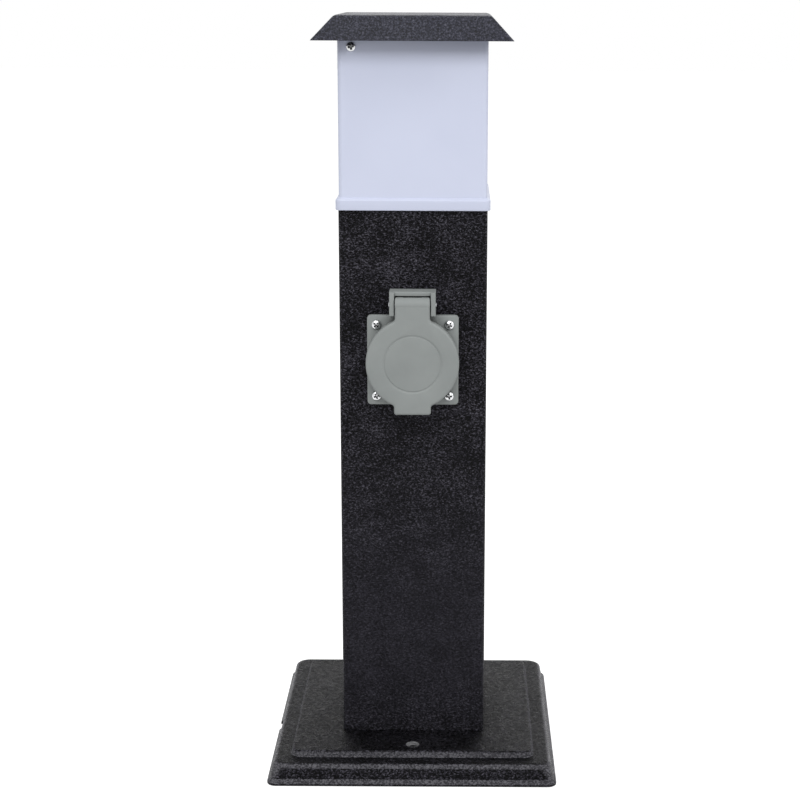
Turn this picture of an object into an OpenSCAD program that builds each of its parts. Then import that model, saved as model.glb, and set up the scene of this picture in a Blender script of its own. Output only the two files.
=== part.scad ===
// Garden socket post: a coated steel tube on a pressed base, with a sprung-lid socket
// in its front face and an opal lamp head under a roof cap.
// Millimetres, +Z up, the front faces -Y, the origin is under the middle of the base.

/* [Base plate] */
// Width of the base over its lower lip
base_w = 160; // [150:1:200]
// Height of the raised panel above the ground
base_h = 15; // [14:0.5:24]
// Height of the riser between the ledge and the raised panel
riser_h = 3.5; // [2.5:0.5:5]
// How far the riser leans out from the panel to the ledge
riser_run = 2; // [1:0.5:3]
// Width of the ledge round the raised panel
ledge_run = 7; // [5:0.5:10]
// How far the skirt stands out from the ledge's edge to the lip
skirt_run = 5.5; // [4.5:0.5:7]
// Radius of the rounded edge between the ledge and the skirt
edge_r = 2.3; // [1.5:0.1:3]
// How far the skirt leans out between its rounded edge and its flare
skirt_lean = 1; // [0.5:0.1:1.4]
// Height at which the skirt flares out
flare_h = 2.8; // [2:0.1:4]
// Height of the upright lip under the flare
lip_h = 0.9; // [0.6:0.1:1.2]
// Thickness of the pressed sheet
sheet = 2; // [1.5:0.1:2.5]
// Corner radius at the lip
base_corner_r = 8; // [7.5:0.5:14]
// Corner radius at the riser's foot
panel_corner_r = 6; // [5:0.5:10]
// Diameter of an anchor hole
anchor_d = 7; // [5:0.5:9]
// Distance of an anchor hole from the raised panel's edge
anchor_inset = 7.5; // [7:0.5:12]
// Wall of the drawn collar round an anchor hole
anchor_collar = 1.6; // [1:0.1:2]
// How far that collar hangs below the panel
anchor_drop = 1.6; // [1:0.1:3]
// Width of the cord notch in the left skirt
notch_w = 11; // [9:0.5:16]
// Height of the cord notch
notch_h = 7.5; // [6.5:0.5:9]
// Place of the cord notch along the left side
notch_y = -4; // [-30:1:30]

/* [Cord inlet] */
// Bore of the cord grommet
cord_d = 8; // [6:0.5:12]
// Hole in the raised panel for the grommet
grommet_hole_d = 15; // [14:0.5:18]
// How far the grommet's flanges reach past that hole
grommet_lip = 2.5; // [1.5:0.5:4]
// Thickness of each grommet flange
grommet_t = 2; // [1.5:0.5:4]

/* [Post] */
// Width of the square tube
post_w = 80; // [76:1:100]
// Length of the tube
post_len = 302; // [290:1:400]
// Wall of the tube
post_wall = 1.5; // [1:0.1:2.5]
// Outer corner radius of the tube
post_corner_r = 2; // [1:0.5:5]

/* [Foot fixing] */
// Thickness of the two foot angles
foot_t = 2; // [1.5:0.1:3]
// Height of a foot angle's upright leg
foot_leg = 22; // [15:1:40]
// Width of a foot angle's lying leg
foot_flange = 16; // [14:1:20]
// Length of a foot angle
foot_len = 60; // [50:1:70]
// Spacing of the foot screws along an angle
foot_pitch = 40; // [30:1:40]
// Diameter of the foot screws
foot_screw_d = 4; // [3:0.5:5]

/* [Wiring plate] */
// Height of the terminal block's middle above the raised panel
block_up = 70; // [60:1:110]
// Height of the wiring plate
plate_h = 44; // [40:1:60]
// Thickness of the wiring plate
plate_t = 1.5; // [1:0.1:2.5]
// How far the plate's face stands off the tube's back wall
plate_stand = 8.5; // [6:0.5:12]
// Spacing of the terminal block's poles
pole_pitch = 12; // [11.5:0.5:14]
// Diameter of a pole's barrel
barrel_d = 9; // [8.6:0.2:10]
// Length of a pole's barrel
barrel_len = 20; // [18:1:26]
// Height of the screw towers in front of a barrel's middle
tower_len = 9; // [8:0.5:12]
// Spacing of the two clamp screws of a pole
clamp_pitch = 11; // [10:0.5:13]
// Outer diameter of the brass inserts
insert_d = 6.4; // [6:0.1:7]
// Bore of the brass inserts
insert_bore = 3.8; // [3.4:0.1:4.2]
// Distance of the earth screw from the outer pole's barrel
earth_off = 4; // [3.8:0.1:8]
// Distance of the earth screw from the plate's side edge
earth_inset = 5.5; // [5:0.5:8]
// Distance of the earth screw below the block's middle
earth_down = 5; // [0:1:10]
// Diameter of the earth screw
earth_d = 4; // [3:0.5:4.5]
// Outer diameter of an earth lug's ring
lug_d = 8.6; // [8:0.2:10]
// Thickness of an earth lug
lug_t = 0.8; // [0.5:0.1:1.2]
// Length of an earth lug's crimp barrel
lug_barrel = 6; // [5:0.5:8]

/* [Socket] */
// Distance of the socket's centre below the tube's rim
socket_down = 84.5; // [60:0.5:140]
// How far the square flange reaches past the sealing collar
flange_edge = 1.25; // [1:0.25:4]
// Thickness of the flange
flange_t = 3; // [2.5:0.5:5]
// Corner radius of the flange
flange_r = 2; // [1:0.5:4]
// Thickness of the flange's gasket
gasket_t = 1; // [0.5:0.1:2]
// Distance of the flange screws from the flange's edges
flange_inset = 5; // [4.5:0.1:5.4]
// Diameter of the flange screws
flange_screw_d = 3; // [2.5:0.1:3.5]
// Length of the flange screws under their heads
flange_screw_len = 11; // [8:1:16]
// Inside diameter of the plug well
well_d = 39.5; // [38.5:0.1:40]
// Wall of the plug well
well_wall = 1.75; // [1.5:0.25:2.5]
// Depth of the plug well from the collar's rim
well_depth = 17.5; // [16:0.5:20]
// Thickness of the well's floor
floor_t = 2.5; // [2:0.5:4]
// Wall of the sealing collar
collar_wall = 3.75; // [3:0.25:4.5]
// Height of the sealing collar in front of the flange
collar_h = 5; // [4:0.5:7]
// How far the guide ribs stand into the well
rib_h = 2.1; // [1.5:0.1:2.5]
// Width of a guide rib
rib_w = 5; // [4:0.5:6]
// Length of a guide rib from the well's floor
rib_len = 10.5; // [8:0.5:14]
// Width of the well's lip, which the flange clamps
well_lip_w = 1.3; // [1:0.1:1.6]
// Thickness of the well's lip
well_lip_t = 1.2; // [1:0.1:1.6]

/* [Contacts] */
// Spacing of the plug pins
pin_pitch = 19; // [18.8:0.1:19.2]
// Diameter of the pin holes in the well's floor
pin_hole_d = 5.5; // [5.2:0.1:6]
// Bore of the contact sleeves
sleeve_bore = 4.9; // [4.85:0.01:5]
// Outside diameter of the contact sleeves
sleeve_d = 6.8; // [6.4:0.1:7]
// Length of the contact sleeves
sleeve_len = 11.5; // [11:0.5:14]
// Width of the lengthways slit in a sleeve
slit_w = 0.8; // [0.5:0.1:1]
// Side of a terminal cube behind a sleeve
terminal_w = 6.4; // [6:0.1:7]
// Depth of a terminal cube
terminal_len = 7; // [6.5:0.5:9]
// Wire hole through a terminal cube
wire_hole_d = 3.4; // [3:0.1:3.6]
// Diameter of the clamp screws
clamp_d = 2.8; // [2.4:0.1:3]
// Width of the contact carrier
carrier_w = 34; // [33:0.5:35]
// Height of the contact carrier
carrier_h = 25; // [24:0.5:26]
// How far the carrier's channel walls reach past the terminals
carrier_shroud = 1; // [0.5:0.5:3]
// Width of the earth strap
earth_w = 4.4; // [4:0.1:5]
// Thickness of the earth strap
earth_t = 0.9; // [0.7:0.1:1.2]
// Gap between the earth strap's arms and the well's wall
earth_gap = 0.5; // [0.3:0.1:0.8]
// Length of the earth strap's arms in the well
earth_arm = 11; // [8:0.5:13]
// Diameter of the screw that holds the carrier
carrier_screw_d = 3; // [2.5:0.1:3.5]

/* [Lid] */
// How far the lid reaches past the flange at each side
lid_past = 0.35; // [0:0.05:1]
// Depth of the lid from its face to its rim
lid_t = 5.5; // [4.5:0.5:7]
// Thickness of the lid's face
lid_face = 3; // [2:0.5:4]
// Wall of the lid's rim
lid_rim = 1.9; // [1.5:0.1:2.5]
// Rounding of the lid's front edge
lid_edge_r = 1; // [0.5:0.1:1.5]
// Diameter of the shallow round field in the lid's face
field_d = 30.6; // [26:0.2:34]
// Depth of that field
field_deep = 0.4; // [0.2:0.1:0.8]
// Gap between the lid's rim and the sealing collar
lid_gap = 0.5; // [0.4:0.1:1]
// Gap between the lid's gasket and the collar
seal_gap = 0.3; // [0.3:0.05:0.4]
// Width of the lid's gasket ring
lid_seal_w = 2.8; // [2:0.1:3]
// Width of the hinge tongue
tongue_w = 18.7; // [17:0.1:20]
// Thickness of the tongue
tongue_t = 3.5; // [2.5:0.5:4]
// Radius of the hinge knuckle
knuckle_r = 3.9; // [3.6:0.1:4.5]
// Height of the hinge pin above the lid's edge
hinge_rise = 6.9; // [6:0.1:10]
// Width of the finger tab
tab_w = 19.9; // [16:0.1:24]
// How far the tab reaches below the lid's edge
tab_len = 3; // [2:0.5:6]
// Thickness of the tab
tab_t = 3.2; // [2:0.1:4]
// Corner radius of the tab
tab_r = 1.5; // [0.5:0.1:1.8]

/* [Hinge] */
// Diameter of the hinge pin
pin_d = 2.5; // [2:0.1:2.8]
// How far the pin stands out of the hinge frame at each side
pin_out = 0.5; // [0.3:0.1:1]
// Distance of the hinge arms' lower ends from the flange's edge
arm_foot = 1.2; // [0.5:0.1:2]
// Wall of the hinge frame's arms
arm_w = 2.65; // [2:0.05:3.5]
// Gap between an arm and the tongue
arm_gap = 0.4; // [0.3:0.1:0.6]
// Height of the hinge frame's top bar
bar_h = 2.5; // [2:0.5:5]
// Gap between the knuckle and the top bar
bar_gap = 0.4; // [0.4:0.1:0.8]
// How far the arms reach in front of the pin's axis
arm_reach = 2.4; // [2:0.1:3.5]
// Length of the spring's gap in the knuckle
spring_gap_w = 10.4; // [10:0.2:12]
// Radius of the spring's pocket round the pin
spring_pocket_r = 2.8; // [2.7:0.1:3]
// Diameter of the spring wire
spring_wire = 0.7; // [0.5:0.05:0.8]
// Radius of the spring's coil at the middle of its wire
spring_r = 2; // [1.9:0.05:2.1]
// Pitch of the spring's turns
spring_pitch = 1.5; // [1.4:0.05:1.6]
// Turns of the spring
spring_turns = 5.5; // [4.5:1:5.5]
// How far the spring's leg reaches down from the pin
spring_leg = 6; // [4:0.5:7]
// How far the pocket is open in front of the pin's axis
spring_relief = 1.5; // [1:0.1:1.8]

/* [Lamp] */
// How far the lamp bracket lies below the tube's rim
bracket_drop = 11.5; // [8:0.5:30]
// Thickness of the lamp bracket
bracket_t = 1.5; // [1:0.1:2.5]
// Depth of the lamp bracket, front to back
bracket_d = 30; // [24:1:40]
// Length of the bracket's legs along the tube's wall
bracket_leg = 14; // [8:1:30]
// Width of the bracket's tabs for the shade
tab_d = 15; // [12:1:20]
// Distance of a tab's outer face from the shade's inner wall
boss_len = 4.25; // [3:0.25:5]
// Outer diameter of the nipple
nipple_d = 10; // [9:0.5:11]
// Bore of the nipple
nipple_bore = 7; // [6.8:0.1:7.2]
// Thickness of the nipple's nut
nipple_nut_h = 4; // [3:0.5:6]
// Outer diameter of the lamp holder
holder_d = 36; // [34:1:42]
// Height of the lamp holder
holder_h = 40; // [38:1:46]
// Thickness of the lamp holder's floor
holder_floor = 8.5; // [7:0.5:10]
// Height of the chamber under the thread shell
chamber_h = 7; // [6.5:0.5:9]
// Diameter of the chamber under the thread shell
chamber_d = 24; // [23:0.5:26]
// Inner diameter of the thread shell
thread_d = 27.2; // [27:0.1:27.6]
// Wall of the thread shell
thread_wall = 0.8; // [0.5:0.1:1]
// Height of the thread shell
thread_h = 22; // [20:1:24]
// Diameter of the bulb's screw base
bulb_base_d = 26.4; // [26:0.1:26.5]
// Diameter of the bulb's globe
bulb_d = 45; // [40:1:50]
// Height of the globe's lowest point above the lamp holder
bulb_rise = 2.5; // [2:0.5:8]
// Wall of the bulb's glass
bulb_wall = 1.2; // [0.8:0.1:2]

/* [Shade] */
// How far the shade's faces stand back from the tube's faces
shade_step = 0.25; // [0:0.05:1]
// Wall of the shade
shade_wall = 2.5; // [2:0.1:3]
// Height of the shade above the tube's seal
shade_h = 94.7; // [92:0.1:140]
// Corner radius of the shade
shade_corner_r = 2.5; // [1.5:0.5:5]
// Wall of the skirt that laps over the tube
skirt_wall = 1.2; // [1:0.1:2]
// Gap between that skirt and the tube
skirt_gap = 0.3; // [0.2:0.1:0.6]
// How far the skirt laps over the tube
skirt_lap = 4.5; // [2:0.5:8]
// Thickness of the shoulder that sits on the seal
shoulder_t = 2; // [1.5:0.5:4]
// Bevel on the skirt's upper edge
skirt_bevel = 1.2; // [0.6:0.1:1.4]
// Thickness of the seal on the tube's rim
seal_t = 1; // [0.5:0.1:2]
// Width of that seal
seal_w = 3; // [2:0.5:3]
// Diameter of the screw bosses inside the shade
boss_d = 8; // [7:0.5:10]
// Height of the screw bosses above the shoulder's underside
boss_up = 9; // [7:0.5:14]
// Diameter of the shade's screws
shade_screw_d = 3; // [2.5:0.1:3.5]

/* [Roof cap] */
// How far the cap's lower edge reaches past the shade
cap_overhang = 13.25; // [10:0.25:20]
// How far the cap's flat top reaches past the shade
cap_margin = 1.25; // [0:0.25:3]
// Height of the cap
cap_h = 13; // [12:0.5:18]
// Wall of the cap
cap_wall = 1.8; // [1.2:0.1:2.5]
// Rounding of the cap's upper edges
cap_edge_r = 4; // [2:0.5:8]
// Thickness of the two cap brackets
cap_bracket_t = 1.5; // [1:0.1:2]
// Width of a cap bracket
cap_bracket_w = 12; // [10:1:16]
// Depth of a cap bracket's lying leg inside the shade's wall
cap_bracket_d = 15; // [10:1:25]
// Length of a cap bracket's hanging leg
cap_bracket_h = 19.5; // [18:0.5:30]
// Distance of a cap screw from the shade's side wall
cap_screw_inset = 7.35; // [6.35:0.5:14]
// Distance of the cap screws below the shade's rim
cap_screw_down = 13.2; // [12:0.1:15]
// Diameter of the cap screws
cap_screw_d = 3; // [2.5:0.5:4]
// Length of the cap screws under their heads
cap_screw_len = 10; // [6:1:14]

/* [Fits] */
// Gap between a screw and the hole that it passes through, on the radius
hole_play = 0.2; // [0.1:0.05:0.3]
// Gap between a screw and its thread, on the radius
thread_play = 0.05; // [0.02:0.01:0.1]
// Gap between the hinge pin and the lid's knuckle, on the radius
pin_play = 0.05; // [0.02:0.01:0.1]
// Gap between parts that slip into one another, on each side
slip = 0.2; // [0.1:0.05:0.3]

/* [Hidden] */
$fn = 48;
eps = 0.01;

base_half = base_w / 2;
ledge_h = base_h - riser_h;
ledge_half = base_half - skirt_run;
riser_foot = ledge_half - ledge_run;
panel_half = riser_foot - riser_run;
skirt_foot = ledge_half + edge_r + skirt_lean;
anchor_y = panel_half - anchor_inset;

inner = post_w / 2 - post_wall;
post_top = base_h + post_len;

foot_x = inner - foot_t - (foot_flange - foot_t) / 2;
foot_head = [2 * foot_screw_d, 0.65 * foot_screw_d];
foot_nut = [2 * foot_screw_d, 0.8 * foot_screw_d];

block_z = base_h + block_up;
web_y = inner - plate_stand;
barrel_y = web_y - barrel_d / 2;
tower_d = 6.8;
clamp_head = [3.8, 1.5];
clamp_sink = 2;
web_w = 4;
web_h = 8;
web_t = 7;
block_screw_d = 2.5;
block_head = [4.4, 1.6];
earth_pos = [pole_pitch + barrel_d / 2 + earth_off, web_y, block_z - earth_down];
plate_w = 2 * (earth_pos[0] + earth_inset);
earth_head = [7, 2.6];
lug_turn = 50;
lug_tube = [3.6, 2.8];
lug_step = lug_t + 0.1;

socket_z = post_top - socket_down;
collar_d = well_d + 2 * collar_wall;
flange_w = collar_d + 2 * flange_edge;
flange_pitch = flange_w - 2 * flange_inset;
lid_d = flange_w + 2 * lid_past;
hinge_up = lid_d / 2 + hinge_rise;
flange_front = gasket_t + flange_t;
collar_front = flange_front + collar_h;
floor_z = collar_front - well_depth;
carrier_z = floor_z - floor_t;
well_r = well_d / 2;
lip_r = well_r + well_wall + well_lip_w;
well_top = gasket_t + well_lip_t;
rib_run = min(rib_len, well_top - floor_z);
flange_head = [5, 1.9];
lid_back = collar_front + lid_gap;
lid_front = lid_back + lid_t;
lid_inside = lid_front - lid_face;
hinge_z = lid_front - knuckle_r;
arm_in = tongue_w / 2 + arm_gap;
arm_out = arm_in + arm_w;
bar_low = hinge_up + knuckle_r + bar_gap;
frame_top = bar_low + bar_h;

strap_z = carrier_z - earth_t;
earth_y = well_r - earth_gap - earth_t;
sleeve_top = carrier_z - slip;
terminal_z = sleeve_top - sleeve_len;
terminal_back = terminal_z - terminal_len;
wire_z = terminal_z - terminal_len * 0.45;
carrier_back = terminal_back - carrier_shroud;
channel_w = terminal_w + 4 * slip;
earth_cube_y = -carrier_h / 2 - slip - terminal_w / 2;
strap_low = earth_cube_y - terminal_w / 2;
carrier_head = [5.6, 1.8];
carrier_screw_len = floor_t + 12;

bracket_top = post_top - bracket_drop;
shoulder_z = post_top + seal_t;
rim_z = shoulder_z + shade_h;
shade_w = post_w - 2 * shade_step;
shade_in = shade_w / 2 - shade_wall;
tab_x = shade_in - boss_len;
boss_z = shoulder_z + boss_up;
shade_head = [5.5, 2];
holder_top = bracket_top + holder_h;
chamber_z = bracket_top + holder_floor;
step_z = chamber_z + chamber_h;
leaf_t = 0.8;
leaf_w = 6;
leaf_z = step_z - 4;
bulb_tip = leaf_z + leaf_t + 0.3;
bulb_neck = holder_top + 1.5;
bulb_z = holder_top + bulb_rise + bulb_d / 2;

cap_w = shade_w + 2 * cap_overhang;
cap_top_w = shade_w + 2 * cap_margin;
cap_under = rim_z + cap_bracket_t;
cap_top = cap_under + cap_wall;
cap_z = cap_top - cap_h;
cap_screw_x = shade_w / 2 - cap_screw_inset;
cap_screw_z = rim_z - cap_screw_down;
cap_head = [5, 1.9];

wire_d = 2.4;
// Where the wires leave the block and the lugs, and where they end at the socket and the lamp
live_pole = [-pole_pitch, barrel_y, block_z];
neutral_pole = [0, barrel_y, block_z];
earth_pole = [pole_pitch, barrel_y, block_z];
lug_neck = lug_d / 2 + 0.8;
lug_end = lug_neck + lug_barrel;
loop_lug = earth_pos + [0, -lug_tube[0] / 2, lug_end];
feed_way = [sin(lug_turn), 0, cos(lug_turn)];
feed_lug = earth_pos + [0, -lug_step - lug_tube[0] / 2, 0] + lug_end * feed_way;
terminal_y = -post_w / 2 - wire_z;
live_end = [-pin_pitch / 2, terminal_y, socket_z];
neutral_end = [pin_pitch / 2, terminal_y, socket_z];
earth_end = [0, terminal_y, socket_z + earth_cube_y];
nipple_x = nipple_bore / 4;

// A point a share t of the way from a to b
function between(a, b, t) = a + t * (b - a);

// Wire routes: up from the block, across the tube and straight into a terminal
live_feed = let (a = live_pole + [0, 0, 15], b = live_end - [0, 0, 27])
    [live_pole + [0, 0, 3], a, between(a, b, 0.3), between(a, b, 0.7), b, live_end - [0, 0, 12],
        live_end - [0, 0, 1.5]];
neutral_feed = let (a = neutral_pole + [0, 0, 15], b = neutral_end - [0, 0, 27])
    [neutral_pole + [0, 0, 3], a, between(a, b, 0.3), between(a, b, 0.7), b, neutral_end - [0, 0, 12],
        neutral_end - [0, 0, 1.5]];
earth_feed = let (a = feed_lug + [3, -0.5, 5], b = earth_end - [0, 0, 13])
    [feed_lug - 4.5 * feed_way, feed_lug, a, between(a, b, 0.2) + [5, 2, 5], between(a, b, 0.5) + [4, 8, 0],
        between(a, b, 0.75) + [0, 8, 0], b, earth_end - [0, 0, 6], earth_end - [0, 0, 0.5]];
earth_loop = let (a = earth_pole, b = loop_lug, x = (a[0] + b[0]) / 2, y = (a[1] + b[1]) / 2)
    [a + [0, 0, 3], a + [0, 0, 12], [(a[0] + x) / 2 - 1, y, block_z + 17.5], [x, y, block_z + 20],
        [(b[0] + x) / 2 + 1, y, block_z + 17.5], b + [0, 0, 5], b - [0, 0, 4.5]];
live_lamp = let (a = live_end + [0, 0, 13.5], b = [-nipple_x, 0, bracket_top - 8.5])
    [live_end + [0, 0, 1.5], a, between(a, b, 0.35), between(a, b, 0.7), b,
        [-nipple_x, 0, bracket_top + 1.5], [-nipple_x, 0, leaf_z - 2]];
neutral_lamp = let (a = neutral_end + [0, 0, 13.5], b = [nipple_x, 0, bracket_top - 8.5])
    [neutral_end + [0, 0, 1.5], a, between(a, b, 0.35), between(a, b, 0.7), b,
        [nipple_x, 0, bracket_top + 1.5], [2 * nipple_x, 0, chamber_z - 0.4],
        [chamber_d / 2 - 2.8 - wire_d / 2, 0, step_z - 2.4]];

// Points of an arc, from angle a0 to a1
function arc(cx, cy, r, a0, a1, n = 8) =
    [for (i = [0:n]) [cx + r * cos(a0 + (a1 - a0) * i / n), cy + r * sin(a0 + (a1 - a0) * i / n)]];

// Outline moved along x
function shifted(points, dx) = [for (p = points) [p[0] + dx, p[1]]];

// A point on the smooth curve through a route, a share t of the way from point i to the next
function curve_point(p, i, t) =
    let (a = p[max(i - 1, 0)], b = p[i], c = p[i + 1], d = p[min(i + 2, len(p) - 1)])
    0.5 * (2 * b + (c - a) * t + (2 * a - 5 * b + 4 * c - d) * t * t
        + (3 * b - a - 3 * c + d) * t * t * t);

// The smooth curve through a route, in steps of about the given length
function curve(p, step) = concat(
    [for (i = [0:len(p) - 2]) let (n = ceil(norm(p[i + 1] - p[i]) / step))
        for (k = [0:n - 1]) curve_point(p, i, k / n)],
    [p[len(p) - 1]]);

// The helix of the lid's spring round the x axis, then its leg down to the hinge frame
function spring_path() = let (rings = 8 * spring_turns, leg_z = flange_front + spring_wire / 2 + eps)
    concat(
        [for (i = [0:rings]) let (a = 90 - 360 * i / 8)
            [spring_pitch * (i / 8 - spring_turns / 2), spring_r * cos(a), spring_r * sin(a)]],
        [for (t = [0.5, 1]) [spring_pitch * spring_turns / 2, -spring_leg * t,
            -spring_r + (leg_z - hinge_z + spring_r) * t]]);

// The least distance between turns of a path that lie at least a half turn apart, less the wire
function least_gap(path, wire) = min([for (i = [0:len(path) - 1], j = [i + 5:1:len(path) - 1])
    norm(path[i] - path[j]) - wire]);
echo(spring_least_gap = least_gap(spring_path(), spring_wire));

// A tube along a path that never runs the same way as across
module tube(path, d, sides = 8, across = [1, 0, 0]) {
    last = len(path) - 1;
    rings = [for (i = [0:last])
        let (way = path[min(i + 1, last)] - path[max(i - 1, 0)], t = way / norm(way),
            side = cross(t, across), u = side / norm(side), v = cross(t, u))
        for (k = [0:sides - 1])
            path[i] + d / 2 * (cos(360 * k / sides) * u + sin(360 * k / sides) * v)];
    walls = [for (i = [0:last - 1], k = [0:sides - 1])
        let (a = i * sides + k, b = i * sides + (k + 1) % sides)
        each [[a, a + sides, b + sides], [a, b + sides, b]]];
    low_end = [for (k = [1:sides - 2]) [0, k, k + 1]];
    high_end = [for (k = [1:sides - 2]) [last * sides, last * sides + k + 1, last * sides + k]];
    polyhedron(rings, concat(walls, low_end, high_end));
}

// Square with rounded corners
module rounded_square(w, r) {
    square([w - 2 * r, w], center = true);
    square([w, w - 2 * r], center = true);
    for (x = [-1, 1], y = [-1, 1])
        translate([x, y] * (w / 2 - r)) circle(r);
}

// An outline carried round a square with rounded corners: x = 0 lies r inside the half width
module square_sweep(half, r, outline) {
    for (a = [0:90:270]) rotate(a) {
        translate([half - r, 0, 0]) rotate([90, 0, 0])
            linear_extrude(2 * (half - r), center = true) polygon(outline);
        translate([half - r, half - r, 0]) rotate_extrude(angle = 90) polygon(outline);
    }
}

// Cross-head screw with its seat at z = 0 and its shank along -z
module cross_screw(d, length, head) {
    dome_r = 0.75 * head[0];
    slot = [0.62 * head[0], 0.17 * head[0], 0.5 * head[1]];
    difference() {
        intersection() {
            cylinder(d = head[0], h = head[1]);
            translate([0, 0, head[1] - dome_r]) sphere(dome_r);
        }
        for (a = [45, 135]) rotate(a)
            translate([0, 0, head[1]]) cube([slot[0], slot[1], 2 * slot[2]], center = true);
    }
    translate([0, 0, -length]) cylinder(d = d, h = length + eps);
}

// Hexagon nut on z = 0
module hex_nut(size, bore) {
    difference() {
        cylinder(d = size[0], h = size[1], $fn = 6);
        translate([0, 0, -eps]) cylinder(d = bore, h = size[1] + 2 * eps);
    }
}

// The socket's own place: x to the right, y up, z out of the tube's front face
module at_socket() {
    translate([0, -post_w / 2, socket_z]) rotate([90, 0, 0]) children();
}

module at_flange_screws() {
    for (x = [-1, 1], y = [-1, 1]) translate([x, y, 0] * flange_pitch / 2) children();
}

module at_foot_screws() {
    for (x = [-1, 1], y = [-1, 1]) translate([x * foot_x, y * foot_pitch / 2, 0]) children();
}

module base_plate() {
    corner = base_half - base_corner_r;
    lap = 1;
    inner_r = max(edge_r - sheet, 0.1);
    skirt = shifted(concat(
        [[corner, ledge_h]],
        arc(ledge_half, ledge_h - edge_r, edge_r, 90, 0),
        [[skirt_foot, flare_h], [base_half, lip_h], [base_half, 0], [base_half - sheet, 0],
            [skirt_foot - sheet, flare_h - lip_h / 2]],
        arc(ledge_half + edge_r - sheet - inner_r, ledge_h - sheet - inner_r, inner_r, 0, 90),
        [[corner, ledge_h - sheet]]), -corner);
    riser_corner = riser_foot - panel_corner_r;
    riser = shifted([[riser_corner, base_h], [panel_half - riser_run / 4, base_h],
        [panel_half + riser_run / 4, base_h - riser_h / 6], [riser_foot, ledge_h],
        [riser_foot, ledge_h - sheet], [riser_foot - sheet, ledge_h - sheet],
        [panel_half - sheet + riser_run / 4, base_h - sheet],
        [riser_corner, base_h - sheet]], -riser_corner);
    notch_r = notch_w / 2;
    color("#2a2a2e") difference() {
        union() {
            square_sweep(base_half, base_corner_r, skirt);
            translate([0, 0, ledge_h - sheet]) linear_extrude(sheet) difference() {
                square(2 * (corner + lap), center = true);
                rounded_square(2 * (riser_foot - lap), panel_corner_r - lap);
            }
            square_sweep(riser_foot, panel_corner_r, riser);
            translate([0, 0, base_h - sheet]) linear_extrude(sheet)
                square(2 * (riser_corner + lap), center = true);
            for (y = [-1, 1]) translate([0, y * anchor_y, base_h - sheet - anchor_drop])
                cylinder(d = anchor_d + 2 * anchor_collar, h = anchor_drop + sheet / 2);
        }
        for (y = [-1, 1]) translate([0, y * anchor_y, ledge_h - sheet - riser_h])
            cylinder(d = anchor_d, h = base_h);
        translate([0, 0, ledge_h]) cylinder(d = grommet_hole_d, h = base_h);
        at_foot_screws() translate([0, 0, ledge_h])
            cylinder(d = foot_screw_d + 2 * hole_play, h = base_h);
        translate([-base_half - lap, notch_y, 0]) rotate([90, 0, 90]) linear_extrude(base_corner_r) {
            translate([-notch_r, -lap]) square([notch_w, notch_h - notch_r + lap]);
            translate([0, notch_h - notch_r]) circle(notch_r);
        }
    }
}

module cable_grommet() {
    lip_r = grommet_hole_d / 2 + grommet_lip;
    low = base_h - sheet - grommet_t;
    color("#161618") difference() {
        union() {
            translate([0, 0, low]) cylinder(r = lip_r, h = grommet_t);
            translate([0, 0, low]) cylinder(d = grommet_hole_d, h = sheet + 2 * grommet_t);
            translate([0, 0, base_h]) cylinder(r = lip_r, h = grommet_t);
        }
        translate([0, 0, low - eps]) cylinder(d = cord_d, h = sheet + 2 * grommet_t + 2 * eps);
    }
}

module post_tube() {
    color("#2a2a2e") difference() {
        translate([0, 0, base_h]) linear_extrude(post_len) difference() {
            rounded_square(post_w, post_corner_r);
            square(2 * inner, center = true);
        }
        at_socket() {
            translate([0, 0, -2 * post_wall])
                cylinder(r = well_r + well_wall + slip, h = 4 * post_wall);
            at_flange_screws() translate([0, 0, -2 * post_wall])
                cylinder(d = flange_screw_d + 2 * thread_play, h = 4 * post_wall);
        }
    }
}

module foot_angles() {
    color("#8d8f92") for (side = [0, 180]) rotate(side) difference() {
        translate([inner - foot_flange, -foot_len / 2, base_h]) {
            cube([foot_flange, foot_len, foot_t]);
            translate([foot_flange - foot_t, 0, 0]) cube([foot_t, foot_len, foot_leg]);
        }
        for (y = [-1, 1]) translate([foot_x, y * foot_pitch / 2, base_h - eps])
            cylinder(d = foot_screw_d + 2 * hole_play, h = foot_t + 2 * eps);
    }
}

module foot_nuts() {
    color("#a9abae") at_foot_screws() translate([0, 0, base_h + foot_t])
        hex_nut(foot_nut, foot_screw_d + 2 * thread_play);
}

module base_screws() {
    reach = sheet + foot_t + foot_nut[1] + 1;
    color("#a9abae") at_foot_screws() translate([0, 0, base_h - sheet]) rotate([180, 0, 0])
        cross_screw(foot_screw_d, reach, foot_head);
}

module wiring_plate() {
    low = block_z - plate_h / 2;
    color("#8d8f92") difference() {
        translate([-plate_w / 2, web_y, low]) {
            cube([plate_w, plate_t, plate_h]);
            for (x = [0, plate_w - plate_t]) translate([x, 0, 0])
                cube([plate_t, plate_stand, plate_h]);
        }
        for (x = [-1, 1]) translate([x * pole_pitch / 2, web_y - eps, block_z]) rotate([-90, 0, 0])
            cylinder(d = block_screw_d + 2 * thread_play, h = plate_t + 2 * eps);
        translate(earth_pos - [0, eps, 0]) rotate([-90, 0, 0])
            cylinder(d = earth_d + 2 * thread_play, h = plate_t + 2 * eps);
    }
}

module at_poles() {
    for (i = [-1:1]) translate([i * pole_pitch, barrel_y, block_z]) children();
}

module at_clamps() {
    at_poles() for (z = [-1, 1]) translate([0, 0, z * clamp_pitch / 2]) rotate([90, 0, 0]) children();
}

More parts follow.
